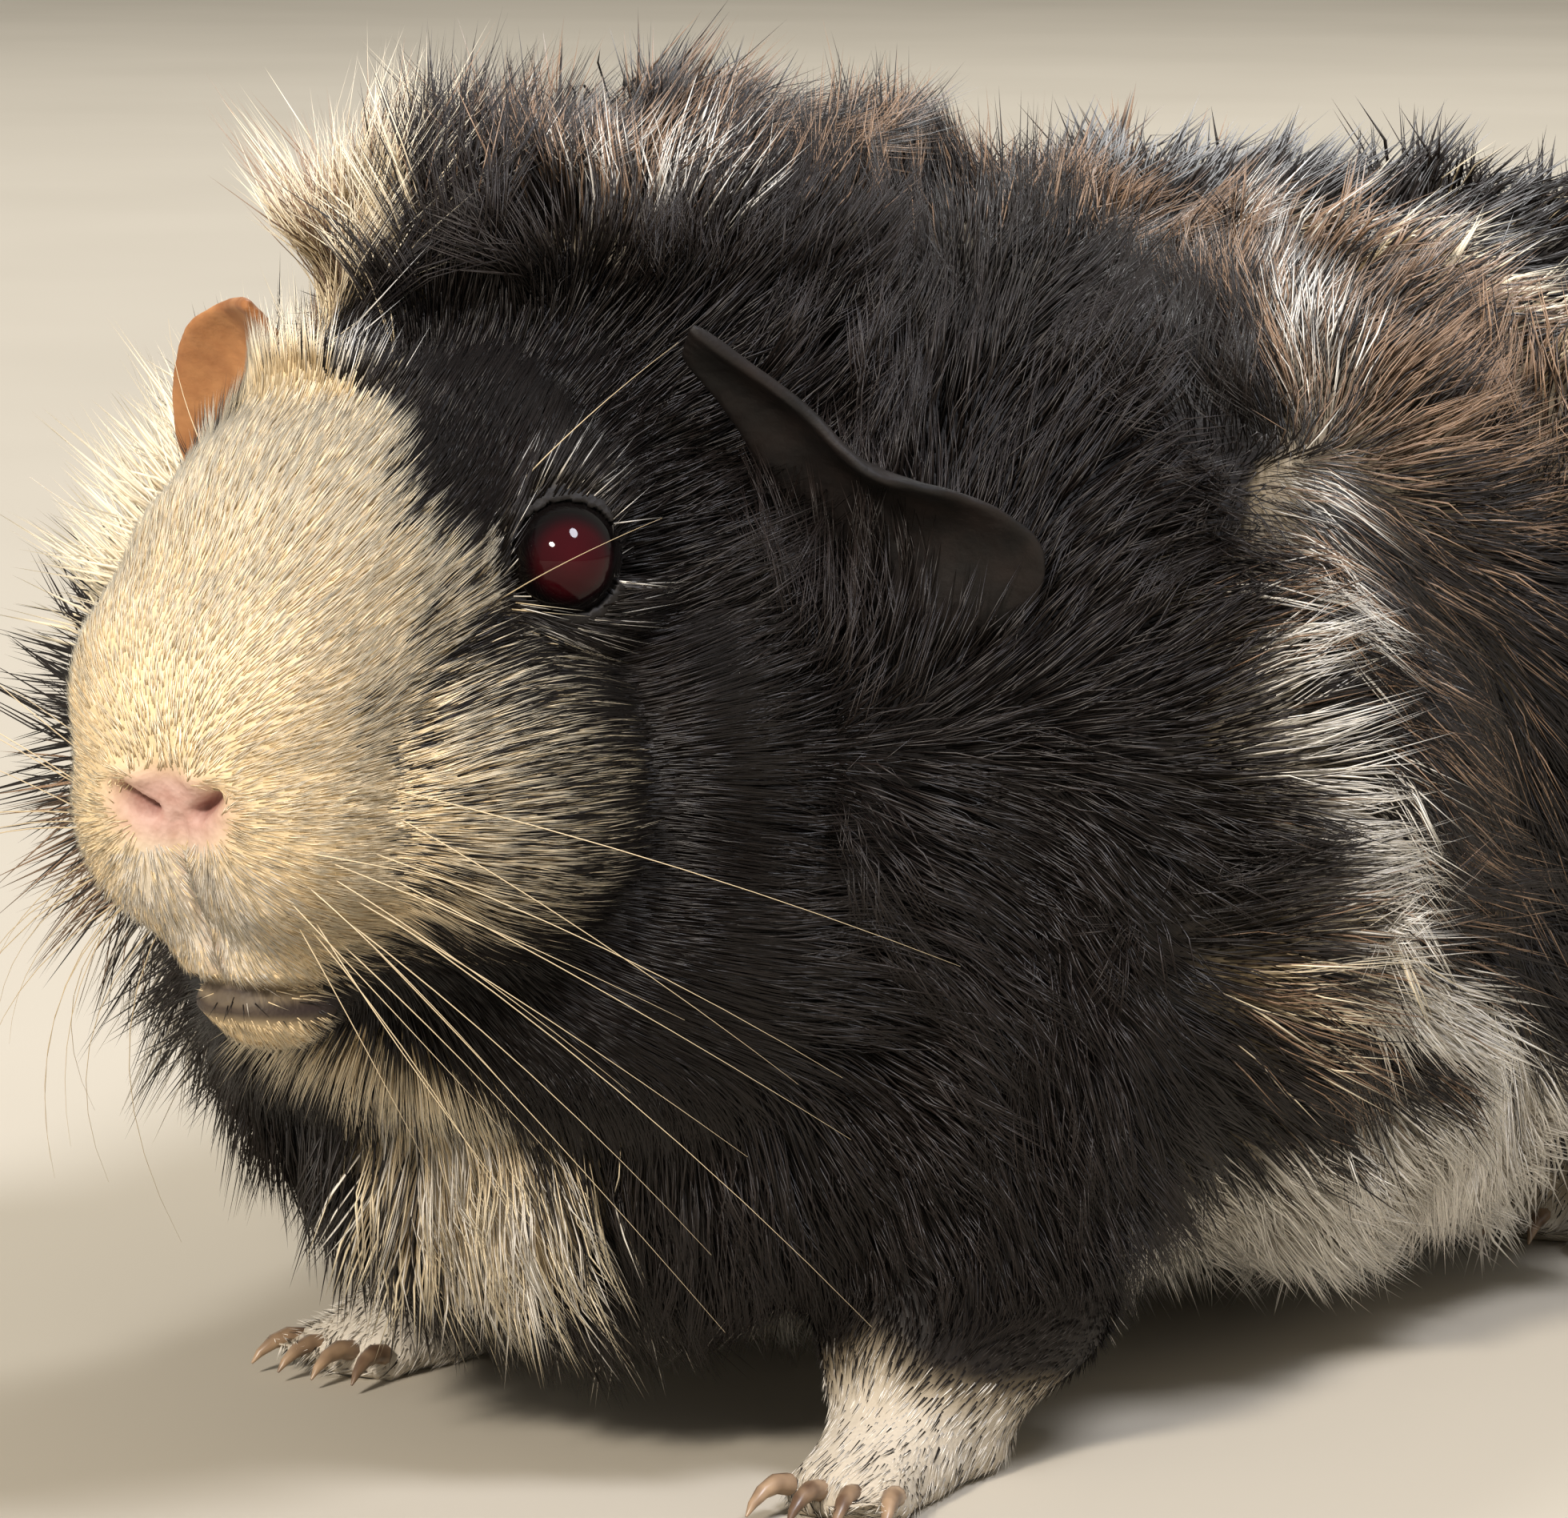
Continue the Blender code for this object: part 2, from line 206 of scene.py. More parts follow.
def bake_modifiers(made):
    """Replaces the object's mesh with what its modifiers make of it, and takes them off."""
    mesh = bpy.data.meshes.new_from_object(made.evaluated_get(bpy.context.evaluated_depsgraph_get()))
    made.modifiers.clear()
    spent, made.data = made.data, mesh
    mesh.name = spent.name
    bpy.data.meshes.remove(spent)
    return made


def read_points(mesh):
    flat = np.empty(len(mesh.vertices) * 3, np.float32)
    mesh.vertices.foreach_get("co", flat)
    return flat.reshape(-1, 3).astype(np.float64) / MM


def write_points(mesh, points):
    mesh.vertices.foreach_set("co", (points * MM).astype(np.float32).ravel())
    mesh.update()


def read_edges(mesh):
    flat = np.empty(len(mesh.edges) * 2, np.int32)
    mesh.edges.foreach_get("vertices", flat)
    return flat.reshape(-1, 2)


def read_normals(mesh):
    flat = np.empty(len(mesh.vertices) * 3, np.float32)
    mesh.vertex_normals.foreach_get("vector", flat)
    return flat.reshape(-1, 3).astype(np.float64)


def relax(points, edges, rounds, share):
    """Moves each point towards the middle of its neighbours, by share, that many times."""
    share = np.broadcast_to(np.asarray(share, float), len(points))[:, None]
    ends = np.concatenate([edges, edges[:, ::-1]])
    count = np.maximum(np.bincount(ends[:, 0], minlength=len(points)), 1)[:, None]
    for _ in range(rounds):
        near = points[ends[:, 1]]
        total = [np.bincount(ends[:, 0], near[:, axis], minlength=len(points)) for axis in range(3)]
        points = points + share * (np.stack(total, axis=1) / count - points)
    return points


skin = new_object("skin", grown_copy("skin", (*FLESH, "eye_left", "eye_right"), JOIN_GROWTH))
grain = skin.modifiers.new("one closed sheet", "REMESH")
grain.mode = "VOXEL"
grain.voxel_size = SKIN_GRAIN
bake_modifiers(skin)

hull = read_points(skin.data)
links = read_edges(skin.data)
depth = 0.3 + hair_length(hull) * hair_rise(hull) * 0.92
depth *= 1 - foot_share(hull) * (1 - ramp(hull[:, 2], 0.5, 4))
depth = np.minimum(depth, 1.5 + np.maximum(hull[:, 2], 0) * 0.3)
softening = 0.5 * ramp(depth, 1.6, 4)
points = relax(hull, links, 3, 0.4 * ramp(depth, 0.4, 1.5))
for _ in range(INSET_STEPS):
    write_points(skin.data, points)
    points = points - read_normals(skin.data) * depth[:, None] / INSET_STEPS
    points = relax(points, links, 2, softening)
write_points(skin.data, points)

# The face is worked finer than the body. All its places are measured in the head's own frame.
EYE_RADIUS = 5.0
LID_OPENING = 4.45
EYE_TURN = 43.0  # degrees between straight ahead and where each eye looks
EYE_LIFT = 0.06
SIGNS = {"left": 1, "right": -1}
EYES = {side: centre_of("eye_" + side) for side in SIGNS}
EYE_AIM = {}
for side, sign in SIGNS.items():
    turn = math.radians(EYE_TURN)
    EYE_AIM[side] = unit(np.array([sign * math.sin(turn), -math.cos(turn), EYE_LIFT]) @ HEAD_AXES)
NOSE_ROOT = from_head(0, -36, -19)
SWELLS = (  # centre, radii and height of each soft form, on both sides of the head
    ((7.5, -26.0, -11.0), (7, 8, 8), 2.0),  # bridge
    ((9.0, -22.0, -3.0), (7, 8, 7), 1.3),  # brow end of the bridge
    ((1.5, -29.0, -30.0), (5, 6, 4.5), 2.4),  # split upper lip
    ((12.5, -9.0, 0.0), (5, 5, 6), -1.2),  # hollow in front of the eye
    ((1.8, -17.0, -35.5), (4.6, 5.0, 3.4), 3.0),  # lower lip and chin
)
FRONT_VIEW = (1, 0.3, 1)  # the nose's lines are laid on from the front, so depth counts less
NOSTRIL = [(1.9, -30, -17.5), (3.0, -30, -16.9), (4.3, -29.5, -15.9)]
NOSE_WING = [(2.4, -30, -14.6), (4.6, -29.5, -14.0), (5.9, -28, -15.4), (5.5, -28, -17.2)]
PHILTRUM = [(0, -31, -18.5), (0, -30.5, -20), (0, -28, -25), (0, -24.8, -31)]
LIP_CURVE = 0.09
MOUTH = [(x, -22.5 + LIP_CURVE * x * x, -32.6 - 0.006 * x * x) for x in range(-10, 11)]
LOWER_LIP = [(x, -21.5 + LIP_CURVE * x * x, -34.2) for x in range(-6, 7)]


def refine(mesh, chosen):
    """Cuts each face in four where all its corners are chosen."""
    form = bmesh.new()
    form.from_mesh(mesh)
    form.verts.ensure_lookup_table()
    faces = [face for face in form.faces if all(chosen[v.index] for v in face.verts)]
    edges = {edge for face in faces for edge in face.edges}
    bmesh.ops.subdivide_edges(form, edges=list(edges), cuts=1, use_grid_fill=True)
    form.to_mesh(mesh)
    form.free()


def mirrored(line):
    return [(-x, y, z) for x, y, z in line]


def before_eye(points, side):
    """How far in front of an eye's centre points lie, and how far off its line of sight."""
    away = points - EYES[side]
    along = away @ EYE_AIM[side]
    return along, np.linalg.norm(away - along[:, None] * EYE_AIM[side], axis=1)


refine(skin.data, face_share(in_head(points)) > 0.5)
points = read_points(skin.data)
detail = np.linalg.norm(in_head(points) - (0, -28, -24), axis=1) < 14
for centre in EYES.values():
    detail |= np.linalg.norm(points - centre, axis=1) < 9
refine(skin.data, detail)
points = read_points(skin.data)
links = read_edges(skin.data)
points = relax(points, links, 3, 0.5 * face_share(in_head(points)))

for centre, radii, height in SWELLS:
    write_points(skin.data, points)
    normals = read_normals(skin.data)
    head = in_head(points)
    shares = []
    for sign in SIGNS.values():
        away = (head - np.array(centre) * (sign, 1, 1)) / radii
        shares.append(np.exp(-(away**2).sum(1)))
    points = points + normals * (height * np.maximum(*shares))[:, None]

for side in EYES:
    # The lids lie on the eyeball and slope back into the face.
    along, across = before_eye(points, side)
    sphere = np.sqrt(np.maximum(EYE_RADIUS**2 - across**2, 0))
    margin = math.sqrt(EYE_RADIUS**2 - LID_OPENING**2) + 0.4
    target = np.where(across < LID_OPENING, sphere - 2.2, margin - 0.25 * (across - LID_OPENING))
    hold = (1 - ramp(across, 5.0, 9.0)) * (along > -3.5) * (across < 9)
    points += (hold * (target - along))[:, None] * EYE_AIM[side]

write_points(skin.data, points)
normals = read_normals(skin.data)
head = in_head(points)
CARVING = (  # line, height in millimetres and half width of each groove or ridge
    (PHILTRUM, -0.8, 0.8), (MOUTH, -1.6, 0.9), (LOWER_LIP, 0.4, 1.0),
    (NOSE_WING, 0.7, 0.9), (mirrored(NOSE_WING), 0.7, 0.9),
)
NOSTRIL_DEPTH, NOSTRIL_WIDTH = 1.7, 0.55
carved = sum(height * near_line(head, line, width, FRONT_VIEW) for line, height, width in CARVING)
nostrils = [near_line(head, line, NOSTRIL_WIDTH, FRONT_VIEW) for line in (NOSTRIL, mirrored(NOSTRIL))]
nostrils = np.maximum(*nostrils)
carved -= NOSTRIL_DEPTH * nostrils
points = points + normals * carved[:, None]
points[:, 2] = np.maximum(points[:, 2], 0)
write_points(skin.data, points)
normals = read_normals(skin.data)
skin.data.shade_smooth()

# --- Markings and lie of the coat -------------------------------------------------------------
# A rough-coated cavy has whorls, from which the hair runs out all ways, and ridges where two meet.
# Skin and hair take the same patches: black-brown ground, cream blaze, white band and tan saddle.

head = in_head(points)
WHORLS = (  # centre in millimetres, strength and reach of each whorl
    ((34, -58, 58), 1.6, 34), ((-36, -60, 58), 1.6, 34),
    ((51, -6, 84), 1.8, 27), ((-50, -2, 82), 1.8, 27),
    ((56, 52, 62), 1.5, 28), ((-55, 56, 60), 1.5, 28),
    ((14, 44, 103), 1.4, 26), ((-18, 40, 102), 1.2, 24),
    ((22, 100, 84), 1.5, 26), ((-24, 102, 80), 1.5, 26),
)
FORELOCK, FORELOCK_EXTRA = ((-9, 4, 24), (15, 15, 10)), 4.0  # the front of the crest stands highest
CHEST = ((4, -80, 26), (34, 26, 26))
BODY_LIE, FLANK_LIE, CHEST_LIE = (0, 0.55, -0.18), (0, -0.1, -0.75), (0, 0.5, -1.6)
MUZZLE_LIE, FOOT_LIE = (0, 0.25, 0), (0, -1.2, -0.7)
RUFFLES = ((26, 5, 1.0), (11, 6, 0.8))  # wavelength, seed and strength
EYE_RING = 9.5  # reach of the hair that runs out from each eye
DROOP = 0.5  # how much of its rise a hair's tip falls back


def away_from(centre, reach):
    """Unit directions away from a point, weaker with distance."""
    gap = points - np.array(centre)
    distance = np.linalg.norm(gap, axis=1)
    return gap / (distance[:, None] + 1.5) * np.exp(-((distance / reach) ** 2))[:, None]


def wander(points, wavelength, seed):
    """A smooth random direction for each point, which turns about once in that many millimetres."""
    odds = np.random.default_rng(seed)
    waves = odds.normal(size=(3, 12)) * math.tau / wavelength / math.sqrt(3)
    phases = odds.uniform(0, math.tau, 12)
    return np.sin(points @ waves + phases) @ odds.normal(size=(12, 3)) / math.sqrt(12)


# The lie is summed from the whorls' pushes, then turned along the skin and smoothed.
low_share = 1 - ramp(points[:, 2], 14, 44)
flow = np.array(BODY_LIE) + low_share[:, None] * np.array(FLANK_LIE)
for centre, strength, reach in WHORLS:
    flow += strength * away_from(centre, reach)
flow += inside(points, *CHEST, 8)[:, None] * np.array(CHEST_LIE)
over_head = (1 - ramp(head[:, 1], 10, 26)) * ramp(head[:, 2], -46, -38)
from_nose = unit(points - NOSE_ROOT) + np.array(MUZZLE_LIE)
flow += over_head[:, None] * (from_nose * 2.2 - flow)
crown = crown_share(head)
crest_flow = np.full(points.shape, 0.9)
crest_flow[:, 0] = -0.25 * np.sign(head[:, 0])
crest_flow[:, 1] = -0.75 + 0.045 * np.maximum(head[:, 1], 0)
crest_flow = crest_flow @ HEAD_AXES
flow += crown[:, None] * (crest_flow * 1.6 - flow)
for centre in EYES.values():
    flow += 3.2 * away_from(centre, EYE_RING)
feet = foot_share(points)
flow += feet[:, None] * (np.array(FOOT_LIE) - flow)
ruffle = 0.55 + 0.5 * crown - 0.4 * face_share(head) - 0.3 * feet
ruffled = sum(share * wander(points, wavelength, seed) for wavelength, seed, share in RUFFLES)
flow += ruffle[:, None] * ruffled
tangent = flow - (flow * normals).sum(1)[:, None] * normals
strength = np.linalg.norm(tangent, axis=1)
lie = unit(relax(unit(tangent), links, 3, 0.5))
lie = unit(lie - (lie * normals).sum(1)[:, None] * normals)

# Each hair runs from its root to root + reach + fall.
length = hair_length(points) + FORELOCK_EXTRA * inside(head, *FORELOCK, 5)
off_face = 1 - face_share(head)
ruffled_rise = off_face * (0.22 * wander(points, 13, 8)[:, 0] + 0.3 * (1 - ramp(strength, 0.15, 0.8)))
rise = np.clip(hair_rise(points) + ruffled_rise, 0.05, 0.8)
sideways = np.sqrt(1 - rise**2) * 0.97
reach = length[:, None] * (sideways[:, None] * lie + 1.5 * rise[:, None] * normals)
fall = -DROOP * (length * rise)[:, None] * normals

BLACK, TAN, WHITE, CREAM = range(4)
BAND = [  # down the left flank, from the back to the belly
    (24, 30, 106), (32, 15, 98), (41, 0, 92), (51, -20, 85), (56, -29, 78),
    (61, -31, 63), (63, -27, 49), (61, -15, 38), (59, -4, 31), (54, 12, 18),
]
BLAZE_EDGE = (  # height on the head, and how far to the left the blaze reaches there
    (-40, 20), (-31, 12.8), (-25, 13.6), (-20, 14.0), (-12, 13.6), (-7, 13.2), (-3, 13.8),
    (1, 13.6), (6, 11.4), (13, 5.6), (17, 1.0), (22, -6.0), (30, -9),
)
THROAT = [(-16, -82, 35.4), (-9, -84.6, 35.0), (3.4, -85.7, 33.6), (8.9, -84.5, 32.2), (13, -83.2, 30)]

# Colour shows where a hair ends, not where it grows, so each patch is laid by the tips of its hair.
SEEN = 0.6
seen = points + SEEN * reach + SEEN**2 * fall
far_half = np.maximum(1 - ramp(points[:, 0], -22, 4), ramp(points[:, 1], 22, 40))
ragged = (1.5 + 6.5 * far_half * ramp(points[:, 1], -60, -30)) * off_face
seen += ragged[:, None] * (wander(points, 34, 12) + 0.5 * wander(points, 15, 13))
head_seen = in_head(seen)
marking = np.zeros((len(points), 4))
marking[:, BLACK] = 1


def paint(pigment, cover):
    """Lays one colour over what is there, as far as cover says."""
    marking[:] *= 1 - cover[:, None]
    marking[:, pigment] += cover


def paint_patches(patches, places):
    """Lays those patches in turn, each where the given places lie in its ellipsoid."""
    for pigment, cover, centre, radii, softness in patches:
        paint(pigment, cover * inside(places, centre, radii, softness))


FAR_CHEEK = ((-24, 2, -12), (13, 17, 16))
HEAD_PATCHES = (  # pigment, cover, centre in the head's frame, radii and softness
    (CREAM, 1.0, (-16, 12, 26), (17, 24, 17), 3),  # right half of the crest
    (TAN, 0.3, (-16, 16, 28), (15, 22, 15), 6),
    (CREAM, 0.75, (15.5, -14, -19), (9.5, 14, 11), 8),  # left cheek pouch
    (WHITE, 0.75, (0, -28, -27), (8, 8, 7), 4),  # upper lip
    (BLACK, 0.95, (13, -10, -35), (9, 13, 6), 2),  # corner of the mouth
    (CREAM, 1.0, (0, -19, -37.5), (6.5, 7, 3.2), 1.0),  # chin
    (WHITE, 0.85, (6, -7, 20), (7, 6, 3.2), 1.5),  # tuft on the brow
    (WHITE, 0.35, (12, 24, 31), (10, 9, 6), 3),  # streaks in the left half of the crest
    (TAN, 0.3, (12, 22, 34), (14, 16, 6), 3),
)
SADDLE_PATCHES = (  # the same on the body, with centres in millimetres in the shared frame
    (TAN, 0.4, (10, -12, 112), (30, 40, 9), 4),  # withers
    (TAN, 0.7, (12, 12, 104), (18, 18, 10), 5),
    (TAN, 0.65, (40, 24, 88), (22, 30, 20), 7),  # saddle
    (BLACK, 0.7, (12, 64, 104), (34, 26, 14), 8),
    (CREAM, 0.6, (36, 46, 96), (12, 12, 10), 5),
    (TAN, 0.22, (62, -8, 58), (14, 22, 40), 6),  # behind the band
)
LOWER_PATCHES = (
    (TAN, 0.3, (61, -26, 37), (6, 6, 8), 3),  # streak in front of the band
    (CREAM, 0.25, (61, -26, 37), (6, 6, 8), 3),
    (WHITE, 1.0, (50, 12, 6), (26, 46, 18), 4),  # foot of the left flank
    (WHITE, 0.9, (4.5, -80, 20.5), (10, 15, 9.5), 4),  # breast
    (CREAM, 0.5, (4.5, -80, 20.5), (12, 15, 12), 4),
    (WHITE, 1.0, (0, 20, 0), (46, 74, 22), 6),  # belly
    (CREAM, 1.0, (-50, -52, 80), (17, 19, 15), 4),  # ruff of the right cheek
    (TAN, 0.8, (-58, -44, 42), (12, 16, 8), 4),
    (WHITE, 0.7, (-52, -50, 29), (12, 14, 8), 4),
    (CREAM, 1.0, (-60, 30, 52), (24, 38, 34), 9),  # right flank
    (TAN, 0.8, (-34, 96, 92), (36, 34, 26), 10),  # right hip
    (TAN, 0.5, (-50, 66, 40), (20, 30, 22), 10),
    (CREAM, 1.0, (30, 118, 40), (30, 30, 24), 9),  # rump
    (WHITE, 0.8, (-40, 10, 12), (26, 40, 14), 6),  # foot of the right flank
)

heights, edge_x = zip(*BLAZE_EDGE)
blaze_x = np.interp(head_seen[:, 2], heights, edge_x) + 0.35 * wander(points, 9, 9)[:, 0]
blaze = ramp(blaze_x - head_seen[:, 0], -1.0, 1.0) * (1 - ramp(head_seen[:, 1], -4, 4))
blaze *= ramp(head_seen[:, 2], -34.5, -32.5)
paint(CREAM, blaze * (1 - inside(head_seen, *FAR_CHEEK, 3)))
paint_patches(HEAD_PATCHES, head_seen)
paint(CREAM, ramp(near_line(seen, THROAT, 1.9), 0.3, 0.6))
from_lens = {side: np.linalg.norm(points - EYES[side] - 2 * EYE_AIM[side], axis=1) for side in EYES}
for apart in from_lens.values():
    paint(WHITE, 0.1 * (1 - ramp(apart, 6.0, 8.4)) * (marking[:, CREAM] < 0.5))
paint_patches(SADDLE_PATCHES, seen)
paint(WHITE, 0.95 * ramp(near_line(seen, BAND, 4.0), 0.18, 0.5))
beside_band = ramp(near_line(seen, BAND, 5.0), 0.18, 0.5)
paint(TAN, 0.55 * beside_band * ramp(seen[:, 2], 62, 84))
paint(BLACK, 0.3 * beside_band * ramp(seen[:, 2], 46, 60))
paint_patches(LOWER_PATCHES, seen)
WHITE_SOCKS = {
    "front_leg_left": 0.7, "front_leg_right": 0.9, "hind_leg_left": 0.9, "hind_leg_right": 0.75,
}
for leg, cover in WHITE_SOCKS.items():
    up_leg = np.linalg.norm((points - SOLES[leg]) * (1, 1, 0.4), axis=1)
    paint(BLACK, 0.8 * (1 - ramp(up_leg, 15, 22)))
    on_foot = np.linalg.norm((seen - SOLES[leg]) * (1, 0.55, 1.15), axis=1)
    paint(WHITE, cover * (1 - ramp(on_foot, 9, 14)))

PAINTED_SHEEN_PATCHES = (  # painted sheen: where the black coat is painted paler grey-brown for soft glints of light
    ((30, -63, 71), (10, 10, 9)), ((29, -72, 49), (9, 9, 8)),
    ((41, -57, 27), (10, 12, 14)), ((38, -55, 50), (8, 10, 10)),
)
# Painted sheen: soft waves of paler grey-brown over the black coat, full in the listed patches; round
# each eye the same grey is a real ring of grey hair.
sheen_and_eye_ring = 0.25 + 0.4 * ramp(wander(points, 24, 11)[:, 0], 0.1, 1.0)
for centre, radii in PAINTED_SHEEN_PATCHES:
    sheen_and_eye_ring = np.maximum(sheen_and_eye_ring, inside(seen, centre, radii, 4))
for apart in from_lens.values():
    sheen_and_eye_ring = np.maximum(sheen_and_eye_ring, 2.4 * (1 - ramp(apart, 5.8, 8.6)))

EYELID_WIDTH = 0.7
LID_EDGE = LID_OPENING + EYELID_WIDTH
bare = np.zeros(len(points))
lids = np.zeros(len(points))
for side in EYES:
    along, across = before_eye(points, side)
    bare = np.maximum(bare, (along > 0) * (across < LID_EDGE))
    lids = np.maximum(lids, (along > 0) * (1 - ramp(across, LID_EDGE + 0.4, LID_EDGE + 1.2)))
nose_pad = inside(head, (0, -31, -17.2), (5.4, 5.5, 3.2), 1.5)
nose_pad = np.maximum(nose_pad, 0.7 * near_line(head, PHILTRUM, 0.7, FRONT_VIEW))
lips = near_line(head, MOUTH, 0.9, FRONT_VIEW)
lips = np.maximum(lips, near_line(head, LOWER_LIP, 1.1, FRONT_VIEW))
soles = (points[:, 2] < 0.6) * 1.0
for share in (nose_pad, lips, soles):
    bare = np.maximum(bare, share)
crowding = 1 - ramp(bare, 0.3, 0.8)
BREADTHS = ((1.3, 0.10), (4, 0.12), (9, 0.16), (18, 0.22), (24, 0.26))  # a hair's length and breadth
breadth = np.interp(length, *zip(*BREADTHS))


def set_attribute(mesh, name, kind, values):
    """Stores one value for each point of a mesh."""
    layer = mesh.attributes.get(name) or mesh.attributes.new(name, kind, "POINT")
    key = {"FLOAT": "value", "FLOAT_VECTOR": "vector", "FLOAT_COLOR": "color"}[kind]
    layer.data.foreach_set(key, np.asarray(values, np.float32).ravel())


set_attribute(skin.data, "marking", "FLOAT_COLOR", marking)
BARE_PARTS = {"nose_pad": nose_pad, "nostrils": nostrils, "lips": lips, "lids": lids}
for name, share in {**BARE_PARTS, "sheen_and_eye_ring": sheen_and_eye_ring}.items():
    set_attribute(skin.data, name, "FLOAT", share)
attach(skin, "root")
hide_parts(*FLESH)


def linear(code, alpha=1.0):
    """An sRGB hex colour as the linear values that a material takes."""
    channels = [int(code[i : i + 2], 16) / 255 for i in (0, 2, 4)]
    return (*[c / 12.92 if c < 0.04045 else ((c + 0.055) / 1.055) ** 2.4 for c in channels], alpha)


MATH, VECTOR_MATH, MIX = "ShaderNodeMath", "ShaderNodeVectorMath", "ShaderNodeMix"
MAP_RANGE = "ShaderNodeMapRange"
ATTRIBUTE, NOISE, PLACE = "ShaderNodeAttribute", "ShaderNodeTexNoise", "ShaderNodeTexCoord"
STORE, STORED = "GeometryNodeStoreNamedAttribute", "GeometryNodeInputNamedAttribute"
RANDOM_VALUE = "FunctionNodeRandomValue"


def node(tree, kind, inputs=(), **settings):
    """Adds a node with its settings, and fills its inputs with values or links. Returns its outputs."""
    made = tree.nodes.new(kind)
    for name, value in settings.items():
        setattr(made, name, value)
    for key, value in dict(inputs).items():
        if isinstance(value, bpy.types.NodeSocket):
            tree.links.new(value, made.inputs[key])
        else:
            made.inputs[key].default_value = value
    return made.outputs


def new_material(name, shader):
    """A material of one Principled shader. Returns it, its tree and the shader's inputs."""
    material = bpy.data.materials.new(name)
    material.use_nodes = True
    tree = material.node_tree
    tree.nodes.clear()
    out = node(tree, "ShaderNodeBsdfPrincipled", shader)
    node(tree, "ShaderNodeOutputMaterial", {"Surface": out[0]})
    return material, tree, out[0].node.inputs


# Each pigment at a hair's root and at its tip; in the coat the darker roots are painted shade deep
# among the hairs. The hide takes the root colours.
ROOT_HEX = {BLACK: "17110e", TAN: "463427", WHITE: "cfc7ba", CREAM: "dcc59d"}
# The grey of the painted sheen on black hair, and of the real grey hair round the eyes.
SHEEN_AND_RING_GREY_HEX = "6a6059"
TIP_HEX = {BLACK: "1e1613", TAN: "96775c", WHITE: "f0ebe2", CREAM: "f5e8cd"}

# Bare hide under dense hair: soft, matt, finely grained, with damp pink nose leather, nostrils painted
# red-brown as the shade in their depth, and dark lips whose dark brown also stands for painted shade in
# the mouth's crease and under the upper lip.
# Real pores are finer than these, which are drawn as coarse as they need to be to show.
PORE_SPACING, NOSE_BLOTCH = 0.455, 1.11  # millimetres
hide, tree, shader = new_material("guinea pig hide", {"Roughness": 0.62, "Specular IOR Level": 0.35})
place = node(tree, PLACE)["Object"]
weights = node(tree, ATTRIBUTE, attribute_name="marking")["Color"]
weights = node(tree, "ShaderNodeSeparateColor", {"Color": weights})
colour = linear(ROOT_HEX[CREAM])
for pigment, amount in ((WHITE, weights[2]), (TAN, weights[1]), (BLACK, weights[0])):
    colour = node(tree, MIX, {0: amount, 6: colour, 7: linear(ROOT_HEX[pigment])}, data_type="RGBA")[2]
blotch = node(tree, NOISE, {"Vector": place, "Scale": 1 / (NOSE_BLOTCH * MM), "Detail": 4.0})[0]
share = node(tree, MAP_RANGE, {"Value": blotch, "From Min": 0.3, "From Max": 0.7})[0]
pink = node(tree, MIX, {0: share, 6: linear("ba9286"), 7: linear("d0aea3")}, data_type="RGBA")[2]
# Painted shade: the nostrils' red-brown and the lips' dark brown stand for shade in the nostrils and
# along the mouth; the lids are dark skin.
tints = (pink, linear("7d4c43"), linear("302523"), linear("120e0d"))
for name, tint in zip(BARE_PARTS, tints):
    amount = node(tree, ATTRIBUTE, attribute_name=name)["Fac"]
    colour = node(tree, MIX, {0: amount, 6: colour, 7: tint}, data_type="RGBA")[2]
tree.links.new(colour, shader["Base Color"])
pores = node(tree, "ShaderNodeTexVoronoi", {"Vector": place, "Scale": 1 / (PORE_SPACING * MM)})[0]
bumps = node(tree, "ShaderNodeBump", {"Height": pores, "Strength": 0.35, "Distance": 0.15 * MM})[0]
tree.links.new(bumps, shader["Normal"])
skin.data.materials.clear()
skin.data.materials.append(hide)

# --- Coat -------------------------------------------------------------------------------------
# Each lock is a thin three-sided spindle of solid hair. It leaves the skin along the lie of the coat,
# rises, droops, and leans towards its neighbours' lock, so that tips gather into points.

COAT_INPUTS = (
    ("Geometry", "NodeSocketGeometry"),
    ("Hairs per square mm", "NodeSocketFloat"),
    ("Locks per square mm", "NodeSocketFloat"),
    ("Segments", "NodeSocketInt"),
    ("Thickness", "NodeSocketFloat"),
    ("Clumping", "NodeSocketFloat"),
    ("Straying", "NodeSocketFloat"),
    ("Colour mixing", "NodeSocketFloat"),
    ("Seed", "NodeSocketInt"),
    ("Material", "NodeSocketMaterial"),
)
SKIN_VALUES = (
    ("reach", "FLOAT_VECTOR"), ("fall", "FLOAT_VECTOR"), ("chart", "FLOAT_VECTOR"),
    ("colour_tops", "FLOAT_VECTOR"), ("breadth", "FLOAT"), ("crowding", "FLOAT"),
)
UV_PATCH = 0.003
LOCK_STRAYING = 1.8  # how much more a lock strays from the lie of the coat than one hair does


def new_tree(name, inputs):
    """A geometry tree with those inputs and one geometry output. Returns it and its inputs' sockets."""
    tree = bpy.data.node_groups.new(name, "GeometryNodeTree")
    for label, kind in inputs:
        tree.interface.new_socket(label, in_out="INPUT", socket_type=kind)
    tree.interface.new_socket("Geometry", in_out="OUTPUT", socket_type="NodeSocketGeometry")
    return tree, node(tree, "NodeGroupInput")


tree, given = new_tree("coat of hair locks", COAT_INPUTS)
coat_tree = tree
place = node(tree, "GeometryNodeInputPosition")[0]
held = {name: node(tree, STORED, {"Name": name}, data_type=kind)[0] for name, kind in SKIN_VALUES}

